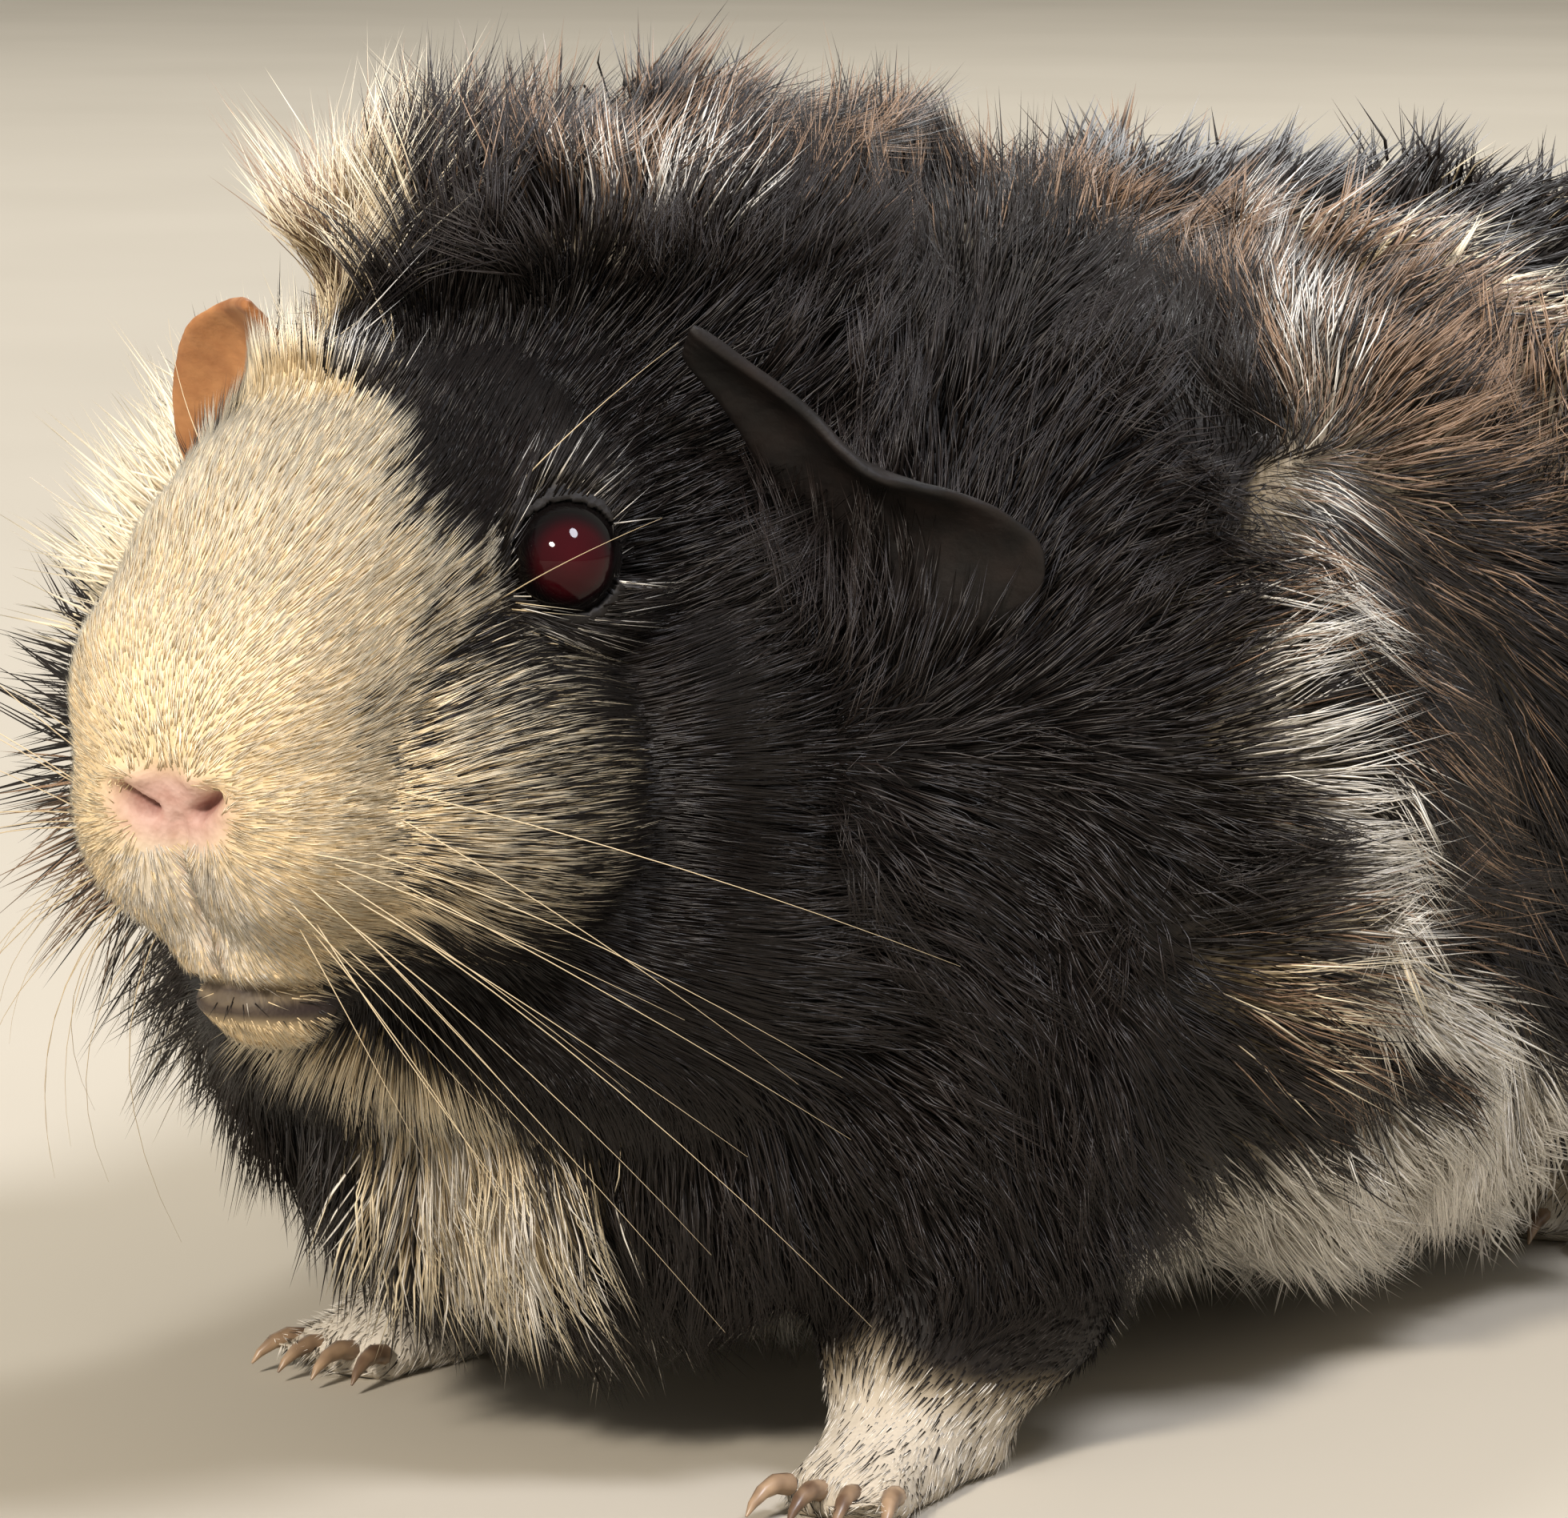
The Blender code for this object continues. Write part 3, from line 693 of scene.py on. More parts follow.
# Where the hairs and the locks they gather into are rooted.
density = node(tree, MATH, {
    0: given["Hairs per square mm"], 1: held["crowding"],
}, operation="MULTIPLY")[0]
density = node(tree, MATH, {0: density, 1: 1 / MM**2}, operation="MULTIPLY")[0]
hairs = node(tree, "GeometryNodeDistributePointsOnFaces", {
    "Mesh": given["Geometry"], "Density": density, "Seed": given["Seed"],
})
density = node(tree, MATH, {0: given["Locks per square mm"], 1: 1 / MM**2}, operation="MULTIPLY")[0]
locks = node(tree, "GeometryNodeDistributePointsOnFaces", {
    "Mesh": given["Geometry"], "Density": density, "Seed": given["Seed"],
})["Points"]
lock_of = node(tree, "GeometryNodeSampleNearest", {"Geometry": locks})[0]
chance = {
    name: node(tree, RANDOM_VALUE, {2: low, 3: high, "Seed": seed}, data_type="FLOAT")[1]
    for name, low, high, seed in (
        ("lock tone", 0.0, 0.6, 1), ("lock colour", 0.0, 1.0, 2), ("hair tone", 0.0, 0.4, 3),
        ("hair colour", 0.0, 1.0, 4), ("length", 0.6, 1.12, 5), ("girth", 0.55, 1.2, 6),
    )
}
sway = node(tree, RANDOM_VALUE, {0: [-1] * 3, 1: [1] * 3, "Seed": 7}, data_type="FLOAT_VECTOR")[0]
amount = node(tree, VECTOR_MATH, {0: held["reach"]}, operation="LENGTH")["Value"]
amount = node(tree, MATH, {0: amount, 1: given["Straying"]}, operation="MULTIPLY")[0]
swayed = node(tree, VECTOR_MATH, {0: sway, 1: amount, 2: held["reach"]}, operation="MULTIPLY_ADD")[0]
wild = node(tree, MATH, {0: amount, 1: LOCK_STRAYING}, operation="MULTIPLY")[0]
wild = node(tree, VECTOR_MATH, {0: sway, 1: wild, 2: held["reach"]}, operation="MULTIPLY_ADD")[0]
lock_value = {
    name: node(tree, "GeometryNodeSampleIndex", {
        "Geometry": locks, "Value": value, "Index": lock_of,
    }, data_type=kind)[0]
    for name, value, kind in (
        ("start", place, "FLOAT_VECTOR"), ("reach", wild, "FLOAT_VECTOR"),
        ("fall", held["fall"], "FLOAT_VECTOR"), ("tone", chance["lock tone"], "FLOAT"),
        ("colour", chance["lock colour"], "FLOAT"),
    )
}

# A hair takes one of the four colours, with the odds that the marking gives, mostly as its lock does.
pick = node(tree, MATH, {
    0: chance["hair colour"], 1: given["Colour mixing"], 2: lock_value["colour"],
}, operation="MULTIPLY_ADD")[0]
pick = node(tree, MATH, {0: pick}, operation="FRACT")[0]
above = node(tree, VECTOR_MATH, {0: pick, 1: held["colour_tops"]}, operation="SUBTRACT")[0]
above = node(tree, VECTOR_MATH, {0: above}, operation="SIGN")[0]
pigment = node(tree, VECTOR_MATH, {0: above, 1: [1 / 8] * 3}, operation="DOT_PRODUCT")["Value"]
pigment = node(tree, MATH, {0: pigment, 1: 0.5}, operation="ADD")[0]
tone = node(tree, MATH, {0: lock_value["tone"], 1: chance["hair tone"]}, operation="ADD")[0]
girth = node(tree, MATH, {0: held["breadth"], 1: chance["girth"]}, operation="MULTIPLY")[0]
girth = node(tree, MATH, {0: girth, 1: given["Thickness"]}, operation="MULTIPLY")[0]

# Its own way: the lie of the coat there, swayed a little, longer or shorter than its neighbours.
own_reach = node(tree, VECTOR_MATH, {0: swayed, "Scale": chance["length"]}, operation="SCALE")[0]
own_fall = node(tree, VECTOR_MATH, {0: held["fall"], "Scale": chance["length"]}, operation="SCALE")[0]
flat_way = node(tree, VECTOR_MATH, {0: own_reach, 1: hairs["Normal"]}, operation="CROSS_PRODUCT")[0]
flat_way = node(tree, VECTOR_MATH, {0: flat_way}, operation="NORMALIZE")[0]
deep_way = node(tree, VECTOR_MATH, {0: own_reach, 1: flat_way}, operation="CROSS_PRODUCT")[0]
deep_way = node(tree, VECTOR_MATH, {0: deep_way}, operation="NORMALIZE")[0]

HAIR_VALUES = (
    ("start", "FLOAT_VECTOR", place),
    ("own_reach", "FLOAT_VECTOR", own_reach),
    ("own_fall", "FLOAT_VECTOR", own_fall),
    ("lock_start", "FLOAT_VECTOR", lock_value["start"]),
    ("lock_reach", "FLOAT_VECTOR", lock_value["reach"]),
    ("lock_fall", "FLOAT_VECTOR", lock_value["fall"]),
    ("flat_way", "FLOAT_VECTOR", flat_way),
    ("deep_way", "FLOAT_VECTOR", deep_way),
    ("girth", "FLOAT", girth),
    ("pigment", "FLOAT", pigment),
    ("tone", "FLOAT", tone),
)
growing = hairs["Points"]
for name, kind, value in HAIR_VALUES:
    growing = node(tree, STORE, {
        "Geometry": growing, "Name": name, "Value": value,
    }, data_type=kind)[0]
    held[name] = node(tree, STORED, {"Name": name}, data_type=kind)[0]
spindle = node(tree, "GeometryNodeMeshCone", {
    "Vertices": 3, "Side Segments": given["Segments"],
    "Radius Top": 0.0, "Radius Bottom": 0.5, "Depth": 1.0,
}, fill_type="NGON")[0]
growing = node(tree, "GeometryNodeInstanceOnPoints", {"Points": growing, "Instance": spindle})[0]
growing = node(tree, "GeometryNodeRealizeInstances", {"Geometry": growing})[0]
form = node(tree, VECTOR_MATH, {0: place, 1: held["start"]}, operation="SUBTRACT")[0]
growing = node(tree, STORE, {
    "Geometry": growing, "Name": "form", "Value": form,
}, data_type="FLOAT_VECTOR")[0]
form = node(tree, STORED, {"Name": "form"}, data_type="FLOAT_VECTOR")[0]
across, deep, along = node(tree, "ShaderNodeSeparateXYZ", {0: form})

# Both ways are start + along * (reach + along * fall), and towards the tip a hair joins its lock's.
LEAN_CURVE = 1.4
ROOT_GIRTH, SWELLING, FLATNESS = 0.6, 2.5, 0.6  # thin at the root, widest past the middle, oval
FLOOR_GAP = 0.15 * MM
PATH_VALUES = (("start", "own_reach", "own_fall"), ("lock_start", "lock_reach", "lock_fall"))
paths = []
for start, way, droop in PATH_VALUES:
    slope = node(tree, VECTOR_MATH, {
        0: held[droop], 1: along, 2: held[way],
    }, operation="MULTIPLY_ADD")[0]
    paths.append(node(tree, VECTOR_MATH, {
        0: slope, 1: along, 2: held[start],
    }, operation="MULTIPLY_ADD")[0])
lean = node(tree, MATH, {0: along, 1: LEAN_CURVE}, operation="POWER")[0]
lean = node(tree, MATH, {0: lean, 1: given["Clumping"]}, operation="MULTIPLY")[0]
centre = node(tree, MIX, {0: lean, 4: paths[0], 5: paths[1]}, data_type="VECTOR")[1]
swell = node(tree, MATH, {0: along, 1: SWELLING, 2: ROOT_GIRTH}, operation="MULTIPLY_ADD")[0]
swell = node(tree, MATH, {0: swell, 1: held["girth"]}, operation="MULTIPLY")[0]
deep = node(tree, MATH, {0: deep, 1: FLATNESS}, operation="MULTIPLY")[0]
offset = node(tree, VECTOR_MATH, {0: held["flat_way"], "Scale": across}, operation="SCALE")[0]
offset = node(tree, VECTOR_MATH, {0: held["deep_way"], 1: deep, 2: offset}, operation="MULTIPLY_ADD")[0]
spot = node(tree, VECTOR_MATH, {0: offset, 1: swell, 2: centre}, operation="MULTIPLY_ADD")[0]
spot = node(tree, VECTOR_MATH, {0: spot, 1: (-1, -1, FLOOR_GAP)}, operation="MAXIMUM")[0]
growing = node(tree, "GeometryNodeSetPosition", {"Geometry": growing, "Position": spot})[0]
growing = node(tree, STORE, {
    "Geometry": growing, "Name": "along", "Value": along,
}, data_type="FLOAT")[0]
patch = node(tree, "ShaderNodeCombineXYZ", {0: across, 1: along})[0]
patch = node(tree, VECTOR_MATH, {
    0: patch, 1: (UV_PATCH, UV_PATCH, 0), 2: held["chart"],
}, operation="MULTIPLY_ADD")[0]
growing = node(tree, STORE, {
    "Geometry": growing, "Name": "OFBake", "Value": patch,
}, data_type="FLOAT2", domain="CORNER")[0]
growing = node(tree, "GeometryNodeSetShadeSmooth", {"Geometry": growing, "Shade Smooth": True})[0]
growing = node(tree, "GeometryNodeRealizeInstances", {"Geometry": growing})[0]
growing = node(tree, "GeometryNodeSetMaterial", {"Geometry": growing, "Material": given["Material"]})[0]
node(tree, "NodeGroupOutput", {0: growing})

# Wiry guard hair: keratin with a dull gloss, painted darker at the root for the shade deep in the coat,
# each lock a little lighter or darker.
# A real hair is a third as thick. These stand for a few hairs each, as coarse as they need to show.
HAIR_IOR = 1.55
hair, tree, shader = new_material("wiry guard hair", {
    "Roughness": 0.46, "IOR": HAIR_IOR, "Specular IOR Level": 0.4,
})
pigment = node(tree, ATTRIBUTE, attribute_name="pigment")["Fac"]
along = node(tree, ATTRIBUTE, attribute_name="along")["Fac"]
tone = node(tree, ATTRIBUTE, attribute_name="tone")["Fac"]
roots, tips = linear(ROOT_HEX[BLACK]), linear(TIP_HEX[BLACK])
for kind in (TAN, WHITE, CREAM):
    taken = node(tree, MATH, {0: pigment, 1: (kind - 0.5) / 4}, operation="GREATER_THAN")[0]
    roots = node(tree, MIX, {0: taken, 6: roots, 7: linear(ROOT_HEX[kind])}, data_type="RGBA")[2]
    tips = node(tree, MIX, {0: taken, 6: tips, 7: linear(TIP_HEX[kind])}, data_type="RGBA")[2]
is_black = node(tree, MATH, {0: pigment, 1: (TAN - 0.5) / 4}, operation="LESS_THAN")[0]
# Painted shade: each hair runs from its darker root colour, which stands for shade deep in the coat, to
# its tip colour.
share = node(tree, MAP_RANGE, {"Value": along, "From Min": 0.1, "From Max": 0.7})[0]
colour = node(tree, MIX, {0: share, 6: roots, 7: tips}, data_type="RGBA")[2]
# Black hairs' tips take the grey of the painted sheen, and round the eyes the grey of the real ring of
# grey hair.
sheen_and_ring = node(tree, ATTRIBUTE, attribute_name="sheen_and_eye_ring")["Fac"]
for factor in (share, is_black, tone):
    sheen_and_ring = node(tree, MATH, {0: sheen_and_ring, 1: factor}, operation="MULTIPLY")[0]
colour = node(tree, MIX, {0: sheen_and_ring, 6: colour, 7: linear(SHEEN_AND_RING_GREY_HEX)}, data_type="RGBA")[2]
value = node(tree, MAP_RANGE, {"Value": tone, "To Min": 0.62, "To Max": 1.25})[0]
colour = node(tree, "ShaderNodeHueSaturation", {"Color": colour, "Value": value})[0]
tree.links.new(colour, shader["Base Color"])

# Districts of the coat, finer where it is seen closest: name and points, then hairs and locks per
# square mm, segments, thickness, clumping, straying, colour mixing, chart and the record's slot.
along_body = points[:, 1]
on_face = face_share(head) > 0.4
on_crown = (crown > 0.4) & ~on_face
on_feet = (feet > 0.35) & ~on_face
on_body = ~(on_face | on_crown | on_feet)
on_left = on_body & (points[:, 0] > 0)
on_right = on_body & ~on_left
DISTRICTS = (
    ("coat_face_left", on_face & (head[:, 0] >= 0),
     10.0, 2.0, 1, 2.4, 0.25, 0.08, 0.6, "face", "cream_coat"),
    ("coat_face_right", on_face & (head[:, 0] < 0),
     7.5, 1.6, 1, 2.6, 0.25, 0.08, 0.6, "face", "cream_coat"),
    ("coat_crown", on_crown,
     5.4, 0.7, 2, 1.18, 0.5, 0.16, 0.5, "face", "black_coat"),
    ("coat_neck_left", on_left & (along_body < -48),
     2.7, 0.45, 2, 1.2, 0.55, 0.15, 0.4, "body", "black_coat"),
    ("coat_shoulder_left", on_left & (along_body >= -48) & (along_body < -28),
     2.6, 0.45, 2, 1.2, 0.55, 0.15, 0.4, "body", "black_coat"),
    ("coat_ribs_left", on_left & (along_body >= -28) & (along_body < -4),
     2.4, 0.4, 2, 1.2, 0.55, 0.15, 0.4, "body", "white_coat"),
    ("coat_flank_left", on_left & (along_body >= -4) & (along_body < 24),
     2.1, 0.35, 2, 1.22, 0.55, 0.15, 0.4, "body", "black_coat"),
    ("coat_hip_left", on_left & (along_body >= 24),
     0.75, 0.2, 2, 2.3, 0.6, 0.15, 0.4, "body", "brown_coat"),
    ("coat_shoulder_right", on_right & (along_body < 10),
     1.1, 0.2, 2, 1.9, 0.6, 0.15, 0.4, "body", "black_coat"),
    ("coat_hip_right", on_right & (along_body >= 10),
     0.65, 0.18, 2, 2.5, 0.6, 0.15, 0.4, "body", "brown_coat"),
    ("coat_feet", on_feet,
     2.8, 0.8, 1, 2.7, 0.3, 0.10, 0.6, "feet", "white_coat"),
)
BODY_AXIS = np.array([0.0, 5.0, 55.0])


def fill_inputs(modifier, values):
    """Sets the inputs of a modifier's tree, each by its socket's identifier."""
    for item in modifier.node_group.interface.items_tree:
        if item.name in values:
            modifier[item.identifier] = values[item.name]


def globe_chart(points, centre, axes):
    """Unwraps a rounded form like a globe with its poles in front and behind: longitude, latitude."""
    local = (points - centre) @ axes.T
    longitude = np.arctan2(local[:, 0], local[:, 2]) / (2 * math.pi) + 0.5
    latitude = np.arctan2(np.hypot(local[:, 0], local[:, 2]), -local[:, 1]) / math.pi
    return np.stack([longitude, latitude], axis=1)


def foot_chart(points):
    """Unwraps each foot as a cylinder round its own middle, side by side with the others."""
    chart = np.zeros((len(points), 2))
    names = list(SOLES)
    gaps = np.stack([np.linalg.norm((points - SOLES[leg])[:, :2], axis=1) for leg in names], axis=1)
    nearest = gaps.argmin(1)
    for index, leg in enumerate(names):
        mine = nearest == index
        local = points[mine] - SOLES[leg]
        turn = np.arctan2(local[:, 0], -local[:, 1]) / (2 * math.pi) + 0.5
        chart[mine, 0] = (index + turn * 0.96) / len(names)
        chart[mine, 1] = local[:, 2] + gaps[mine, index] * 0.3
    return chart


def district_mesh(name, chosen):
    """The skin's faces that start in the district, so that each face is in one district only."""
    mesh = skin.data.copy()
    mesh.name = name
    form = bmesh.new()
    form.from_mesh(mesh)
    form.verts.ensure_lookup_table()
    away = [face for face in form.faces if not chosen[face.verts[0].index]]
    bmesh.ops.delete(form, geom=away, context="FACES")
    form.to_mesh(mesh)
    form.free()
    return mesh


charts = {
    "face": globe_chart(points, from_head(0, 4, -8), HEAD_AXES),
    "body": globe_chart(points, BODY_AXIS, np.eye(3)),
    "feet": foot_chart(points),
}
grown = {
    "reach": reach * MM, "fall": fall * MM, "colour_tops": marking[:, :3].cumsum(1),
    "breadth": breadth * MM, "crowding": crowding, "chart": np.zeros(points.shape),
}
for name, kind in SKIN_VALUES:
    set_attribute(skin.data, name, kind, grown[name])

SPENT_VALUES = {*held, *BARE_PARTS, "form", "marking"} - {"pigment", "tone"}
for index, (name, chosen, *settings, chart_name, slot) in enumerate(DISTRICTS):
    chart = charts[chart_name]
    low, high = chart[chosen].min(0), chart[chosen].max(0)
    chart = (chart - low) / (high - low) * 0.98 + 0.01
    set_attribute(skin.data, "chart", "FLOAT_VECTOR", np.c_[chart, np.zeros(len(chart))])
    coat = new_object(name, district_mesh(name, chosen))
    growth = coat.modifiers.new("hair", "NODES")
    growth.node_group = coat_tree
    settings += [100 * (index + 1), hair]
    fill_inputs(growth, dict(zip([label for label, kind in COAT_INPUTS[1:]], settings)))
    bake_modifiers(coat)
    for layer in [layer.name for layer in coat.data.attributes]:
        if layer in SPENT_VALUES:
            coat.data.attributes.remove(coat.data.attributes[layer])
    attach(coat, "root")

for name, kind in SKIN_VALUES:
    skin.data.attributes.remove(skin.data.attributes[name])

# --- Eyes -------------------------------------------------------------------------------------
# Glass eyes, each one ball with a clear domed front: a wide ruby pupil in a nearly black iris,
# painted in rings and polished.

CORNEA_BULGE = 0.35  # millimetres that the clear front stands out past the ball
EYE_RINGS, EYE_SPOKES = 36, 48
PUPIL_HEX = "33060d"
IRIS_STEPS = (  # shares of the radius between which each colour comes in
    (0.0, 0.5, "2b050a"), (0.5, 0.66, "120507"), (0.66, 0.74, "080606"), (0.74, 1.0, "0d0a09"),
)

# Polished glass over paint: small sharp highlights, and a ruby that darkens towards the rim.
glass_eye, tree, shader = new_material("dark glass eye", {
    "Roughness": 0.04, "IOR": 1.376, "Specular IOR Level": 0.28,
})
from_axis = node(tree, ATTRIBUTE, attribute_name="from_axis")["Fac"]
iris = linear(PUPIL_HEX)
for start, end, code in IRIS_STEPS:
    share = node(tree, MAP_RANGE, {"Value": from_axis, "From Min": start, "From Max": end})[0]
    iris = node(tree, MIX, {0: share, 6: iris, 7: linear(code)}, data_type="RGBA")[2]
tree.links.new(iris, shader["Base Color"])

for side, centre in EYES.items():
    aim = EYE_AIM[side]
    level = unit(np.cross(aim, [0, 0, 1]))
    upward = np.cross(aim, level)
    ball = bmesh.new()
    bmesh.ops.create_uvsphere(ball, u_segments=EYE_SPOKES, v_segments=EYE_RINGS, radius=EYE_RADIUS)
    eye = new_object("glass_eye_" + side, bpy.data.meshes.new("glass_eye_" + side))
    ball.to_mesh(eye.data)
    ball.free()
    local = np.array([v.co for v in eye.data.vertices])
    radial = np.hypot(local[:, 0], local[:, 1])
    local[:, 2] += CORNEA_BULGE * (local[:, 2] > 0) * (1 - ramp(radial, 0, EYE_RADIUS * 0.8))
    write_points(eye.data, centre + local @ np.stack([level, upward, aim]))
    set_attribute(eye.data, "from_axis", "FLOAT", np.where(local[:, 2] > 0, radial / EYE_RADIUS, 1))
    eye.data.shade_smooth()
    eye.data.materials.append(glass_eye)
    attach(eye, "root")
    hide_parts("eye_" + side)

# --- Ears -------------------------------------------------------------------------------------
# Bare petals of thin leathery skin: dark skin on the left, painted nearly black as the shade in the
# hollow under its rim, and pink-tan skin on the right, painted warm orange for light shining through
# it.
# The solids' petals are rounded off and rippled a little, as an ear is that the hair has pushed about.

# Thin leathery hide: matt, cloudy in colour, with fine wrinkles that break up the light.
EAR_BLOTCH, EAR_WRINKLE = 3.85, 1.43  # millimetres
# Left: dark skin painted nearly black for the shade of its hollow; right: pink-tan skin painted orange
# for light through it.
EAR_HEX = {"left": ("0c0908", "1d1512"), "right": ("9a643c", "c28c5c")}
EAR_RIPPLE = 0.9  # millimetres
EARS_ROOT = {"left": from_head(20, 20, 16), "right": from_head(-20, 20, 16)}
for side, (dark, light) in EAR_HEX.items():
    ear = new_object("ear_petal_" + side, grown_copy("ear_petal_" + side, ["ear_" + side], 0.0))
    rounding = ear.modifiers.new("fine surface", "SUBSURF")
    rounding.levels = rounding.render_levels = 2
    bake_modifiers(ear)
    petal = read_points(ear.data)
    thin_way = np.linalg.svd(petal - petal.mean(0), full_matrices=False)[2][2]
    from_root = np.linalg.norm(petal - EARS_ROOT[side], axis=1)
    ripple = EAR_RIPPLE * wander(petal, 14, 31)[:, 0] * ramp(from_root, 6, 14)
    write_points(ear.data, petal + ripple[:, None] * thin_way)
    leather, tree, shader = new_material(side + " ear leather", {
        "Roughness": 0.6, "Specular IOR Level": 0.3,
    })
    place = node(tree, PLACE)["Object"]
    blotch = node(tree, NOISE, {"Vector": place, "Scale": 1 / (EAR_BLOTCH * MM), "Detail": 6.0})[0]
    share = node(tree, MAP_RANGE, {"Value": blotch, "From Min": 0.35, "From Max": 0.75})[0]
    colour = node(tree, MIX, {0: share, 6: linear(dark), 7: linear(light)}, data_type="RGBA")[2]
    tree.links.new(colour, shader["Base Color"])
    folds = node(tree, NOISE, {"Vector": place, "Scale": 1 / (EAR_WRINKLE * MM), "Detail": 5.0})[0]
    bumps = node(tree, "ShaderNodeBump", {"Height": folds, "Strength": 0.5, "Distance": 0.3 * MM})[0]
    tree.links.new(bumps, shader["Normal"])
    ear.data.materials.clear()
    ear.data.materials.append(leather)
    ear.data.shade_smooth()
    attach(ear, "root")
    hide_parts("ear_" + side)

# --- Whiskers ---------------------------------------------------------------------------------
# Stiff bristles that taper to a hair's end, rooted in rows on each side of the lips, with two
# more by each eye. Each is a thin shoot that follows its own bent line.

WHISKER_ROWS = (-16.5, -19.5, -22.5, -25.5, -28.5)  # heights
WHISKER_STATIONS = ((-27.5, 22), (-24.5, 30), (-21.0, 38), (-17.5, 46))  # place in a row, and length
WHISKER_SPREAD = 9.5  # how far from the middle of the face the rows lie
RIGHT_LONGER = 1.15
SHOOT_INPUTS = (
    ("Geometry", "NodeSocketGeometry"),
    ("Sides", "NodeSocketInt"),
    ("Material", "NodeSocketMaterial"),
)
BROW_WHISKERS = (  # root from the eye's centre, way and length
    ((-5.2, -4.8, -3.6), (0.80, -0.40, 0.42), 20),  # in front of the eye
    ((-2.5, -3.0, 5.6), (0.62, 0.25, 0.74), 16),  # above it
)
BROW_BEND = (0.0, 0.3, -0.03)
WHISKER_SIDES = 4
WHISKER_ROOT = 0.062  # radius at the root in millimetres

tree, given = new_tree("tapered shoots along lines", SHOOT_INPUTS)
shoot_tree = tree
thickness = node(tree, STORED, {"Name": "thickness"}, data_type="FLOAT")[0]
lines = node(tree, "GeometryNodeMeshToCurve", {"Mesh": given["Geometry"]})[0]
profile = node(tree, "GeometryNodeCurvePrimitiveCircle", {
    "Resolution": given["Sides"], "Radius": 1.0,
})[0]
shoots = node(tree, "GeometryNodeCurveToMesh", {
    "Curve": lines, "Profile Curve": profile, "Scale": thickness, "Fill Caps": True,
})[0]
shoots = node(tree, "GeometryNodeSetShadeSmooth", {"Geometry": shoots, "Shade Smooth": True})[0]
shoots = node(tree, "GeometryNodeRealizeInstances", {"Geometry": shoots})[0]
shoots = node(tree, "GeometryNodeSetMaterial", {"Geometry": shoots, "Material": given["Material"]})[0]
node(tree, "NodeGroupOutput", {0: shoots})


def grow_shoots(name, paths, thicknesses, sides, material):
    """One object of tapered shoots, one along each path, with a thickness for each point of it."""
    mesh = bpy.data.meshes.new(name)
    edges, start = [], 0
    for path in paths:
        edges += [(start + step, start + step + 1) for step in range(len(path) - 1)]
        start += len(path)
    mesh.from_pydata(np.concatenate(paths) * MM, edges, [])
    set_attribute(mesh, "thickness", "FLOAT", np.concatenate(thicknesses) * MM)
    made = new_object(name, mesh)
    modifier = made.modifiers.new("shoots", "NODES")
    modifier.node_group = shoot_tree
    fill_inputs(modifier, {"Sides": sides, "Material": material})
    return bake_modifiers(made)


odds = np.random.default_rng(21)
steps = np.linspace(0, 1, 9)[:, None]
whisker_paths = []
for sign in SIGNS.values():
    for row, height in enumerate(WHISKER_ROWS):
        # The top row has only its hindmost whisker on the left.
        stations = WHISKER_STATIONS[3:] if row == 0 and sign > 0 else WHISKER_STATIONS
        for forward, size in stations:
            size *= odds.uniform(0.75, 1.1) * (1 if sign > 0 else RIGHT_LONGER)
            place = np.array([sign * WHISKER_SPREAD, forward, height]) + odds.uniform(-0.9, 0.9, 3)
            root = head[np.linalg.norm(head - place, axis=1).argmin()]
            drop = 0.25 - 0.26 * row if sign < 0 else -0.1 - 0.2 * row
            sweep = 0.12 + 0.022 * (forward + 27)
            way = unit(np.array([sign * 0.8, sweep, drop]) + odds.normal(0, 0.09, 3))
            bend = np.array([-0.12 * sign, 0.28, -0.16]) + odds.normal(0, 0.05, 3)
            path = root - 0.5 * way + size * (steps * way + steps**2 * bend)
            whisker_paths.append(HEAD_ORIGIN + path @ HEAD_AXES)
for side, sign in SIGNS.items():
    for place, way, size in BROW_WHISKERS:
        wanted = in_head(EYES[side]) + np.array(place) * (sign, 1, 1)
        root = head[np.linalg.norm(head - wanted, axis=1).argmin()]
        way = unit(np.array(way) * (sign, 1, 1))
        path = root - 0.5 * way + size * (steps * way + steps**2 * np.array(BROW_BEND))
        whisker_paths.append(HEAD_ORIGIN + path @ HEAD_AXES)
whisker_taper = WHISKER_ROOT * (1 - 0.85 * steps[:, 0])
# A smoother keratin than the coat's: a pale line with a thin bright edge.
bristle, tree, shader = new_material("pale stiff bristle", {
    "Base Color": linear("cdb996"), "Roughness": 0.35, "IOR": HAIR_IOR, "Specular IOR Level": 0.5,
})
tapers = [whisker_taper] * len(whisker_paths)
whiskers = grow_shoots("whiskers", whisker_paths, tapers, WHISKER_SIDES, bristle)
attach(whiskers, "root")

# --- Claws ------------------------------------------------------------------------------------
# Narrow curved claws, four on each forefoot and three on each hind foot, horn-coloured. Each is
# a thicker shoot of the whiskers' kind, out of the tip of its toe.

FEET = {  # the heel's place, the paw's length and how many toes it has
    "front_leg_left": ((33.1, -52.3), 15, 4), "front_leg_right": ((-23.9, -34.3), 15, 4),
    "hind_leg_left": ((37.1, 84.7), 30, 3), "hind_leg_right": ((-34.9, 89.7), 30, 3),
}
TOE_OUT = math.radians(8)
PAW_WIDTH, TOE_ARCH, TOE_FAN = 12, 2.5, 0.16  # middle toes reach further, outer ones turn outwards
CLAW_PATH = ((0, -0.8, 2.6), (0, -2.6, 3.0), (0, -4.2, 2.7), (0, -5.6, 1.9), (0, -6.4, 1.1))
CLAW_RADII = (0.95, 0.85, 0.65, 0.4, 0.1)
CLAW_SIDES = 10

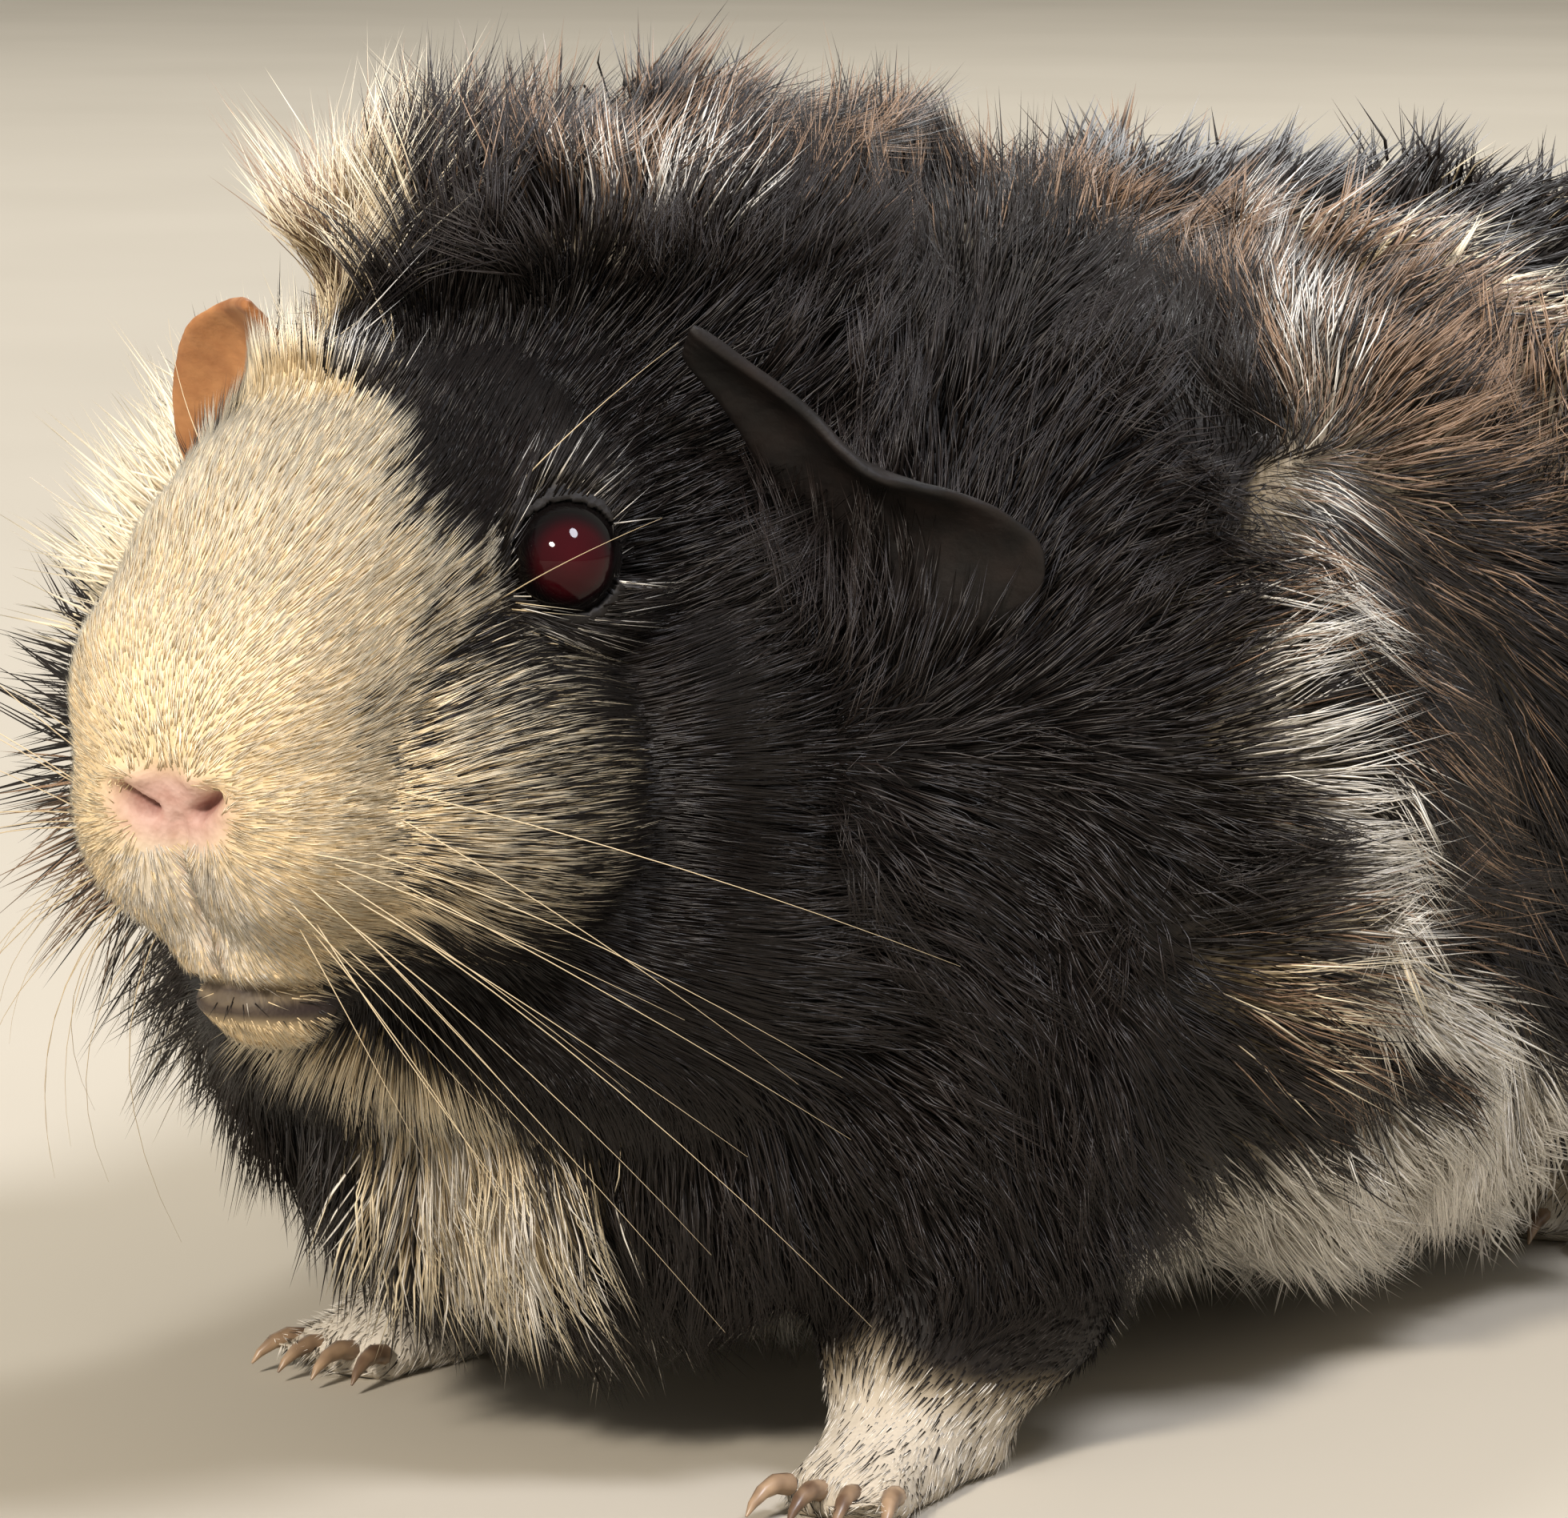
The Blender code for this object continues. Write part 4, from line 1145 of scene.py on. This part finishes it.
claw_paths = []
for leg, (heel, paw, toes) in FEET.items():
    foot_turn = Matrix.Rotation(TOE_OUT if heel[0] > 0 else -TOE_OUT, 3, "Z")
    for index in range(toes):
        across = index - (toes - 1) / 2
        ahead = paw + TOE_ARCH * math.cos(across * 0.55)
        tip = foot_turn @ Vector((across * PAW_WIDTH / toes, -ahead, 0)) + Vector((*heel, 0))
        toe_turn = np.array(foot_turn @ Matrix.Rotation(across * TOE_FAN, 3, "Z"))
        claw_paths.append(np.array(CLAW_PATH) @ toe_turn.T + np.array(tip))

# Claw horn, worn smooth by walking: a soft gloss over streaks of dark and pale.
HORN_STREAK = 3.33  # millimetres
horn, tree, shader = new_material("claw horn", {"Roughness": 0.35, "Specular IOR Level": 0.5})
place = node(tree, PLACE)["Object"]
blotch = node(tree, NOISE, {"Vector": place, "Scale": 1 / (HORN_STREAK * MM)})[0]
share = node(tree, MAP_RANGE, {"Value": blotch, "From Min": 0.35, "From Max": 0.7})[0]
colour = node(tree, MIX, {0: share, 6: linear("5b4636"), 7: linear("a58a6e")}, data_type="RGBA")[2]
tree.links.new(colour, shader["Base Color"])
claws = grow_shoots("claws", claw_paths, [CLAW_RADII] * len(claw_paths), CLAW_SIDES, horn)
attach(claws, "root")

# --- Floor, light and camera ------------------------------------------------------------------
# A pale matt floor, soft studio light from in front, the left and behind, and a camera a little
# above the animal's eyes.

floor = new_object("floor", bpy.data.meshes.new("floor"))
slab = bmesh.new()
bmesh.ops.create_grid(slab, x_segments=1, y_segments=1, size=12.0)
slab.to_mesh(floor.data)
slab.free()

# Matt background paper: no gloss, and hardly any mottle.
PAPER_MOTTLE = 167  # millimetres
paper, tree, shader = new_material("pale matt paper", {"Roughness": 0.9})
place = node(tree, PLACE)["Object"]
mottle = node(tree, NOISE, {"Vector": place, "Scale": 1 / (PAPER_MOTTLE * MM)})[0]
share = node(tree, MAP_RANGE, {"Value": mottle, "From Min": 0.3, "From Max": 0.7})[0]
colour = node(tree, MIX, {0: share, 6: linear("aea697"), 7: linear("b3ab9c")}, data_type="RGBA")[2]
tree.links.new(colour, shader["Base Color"])
floor.data.materials.append(paper)

VIEW_AZIMUTH, VIEW_ELEVATION, VIEW_ROLL = 31.4, 8.8, 0.2
VIEW_DISTANCE = 520.0
TARGET_RIGHT, TARGET_DROP = 32.7, 17.3  # from between the eyes to the middle of the view
azimuth, elevation = math.radians(VIEW_AZIMUTH), math.radians(VIEW_ELEVATION)


def towards(azimuth, elevation):
    """The direction of a place round the animal: azimuth from its front to its left, then upwards."""
    level = math.cos(elevation)
    return np.array([math.sin(azimuth) * level, -math.cos(azimuth) * level, math.sin(elevation)])


back = towards(azimuth, elevation)
target = HEAD_ORIGIN + TARGET_RIGHT * towards(azimuth + math.pi / 2, 0) - (0, 0, TARGET_DROP)
camera = bpy.data.objects.new("camera", bpy.data.cameras.new("camera"))
camera.data.lens = 149.0
camera.data.sensor_width = 36.0
camera.data.clip_start = 0.01
camera.location = Vector((target + back * VIEW_DISTANCE) * MM)
camera.rotation_mode = "QUATERNION"
roll = Matrix.Rotation(math.radians(VIEW_ROLL), 3, "Z").to_quaternion()
camera.rotation_quaternion = Vector(back).to_track_quat("Z", "Y") @ roll
bpy.context.scene.collection.objects.link(camera)
bpy.context.scene.camera = camera

MIDDLE = Vector((0.0, -0.03, 0.06))  # what the lamps point at
LIGHTS = (  # name, azimuth and elevation of its place, distance, width, watts and colour
    ("window", 6, 34, 3.0, 0.45, 100.0, "fff6ea"),
    ("sky", 75, 58, 3.0, 0.8, 75.0, "f0f3ff"),
    ("rim", 196, 42, 3.0, 0.7, 42.0, "ffffff"),
)
for name, light_azimuth, light_elevation, distance, size, watts, tint in LIGHTS:
    way = Vector(towards(math.radians(light_azimuth), math.radians(light_elevation)))
    lamp = bpy.data.objects.new(name, bpy.data.lights.new(name, "AREA"))
    lamp.data.shape = "DISK"
    lamp.data.size = size
    lamp.data.energy = watts
    lamp.data.color = linear(tint)[:3]
    lamp.location = MIDDLE + way * distance
    lamp.rotation_mode = "QUATERNION"
    lamp.rotation_quaternion = way.to_track_quat("Z", "Y")
    bpy.context.scene.collection.objects.link(lamp)

world = bpy.data.worlds.new("soft room")
world.use_nodes = True
world.node_tree.nodes["Background"].inputs["Color"].default_value = linear("f0ece2")
world.node_tree.nodes["Background"].inputs["Strength"].default_value = 0.55
bpy.context.scene.world = world
bpy.context.scene.view_settings.view_transform = "Standard"
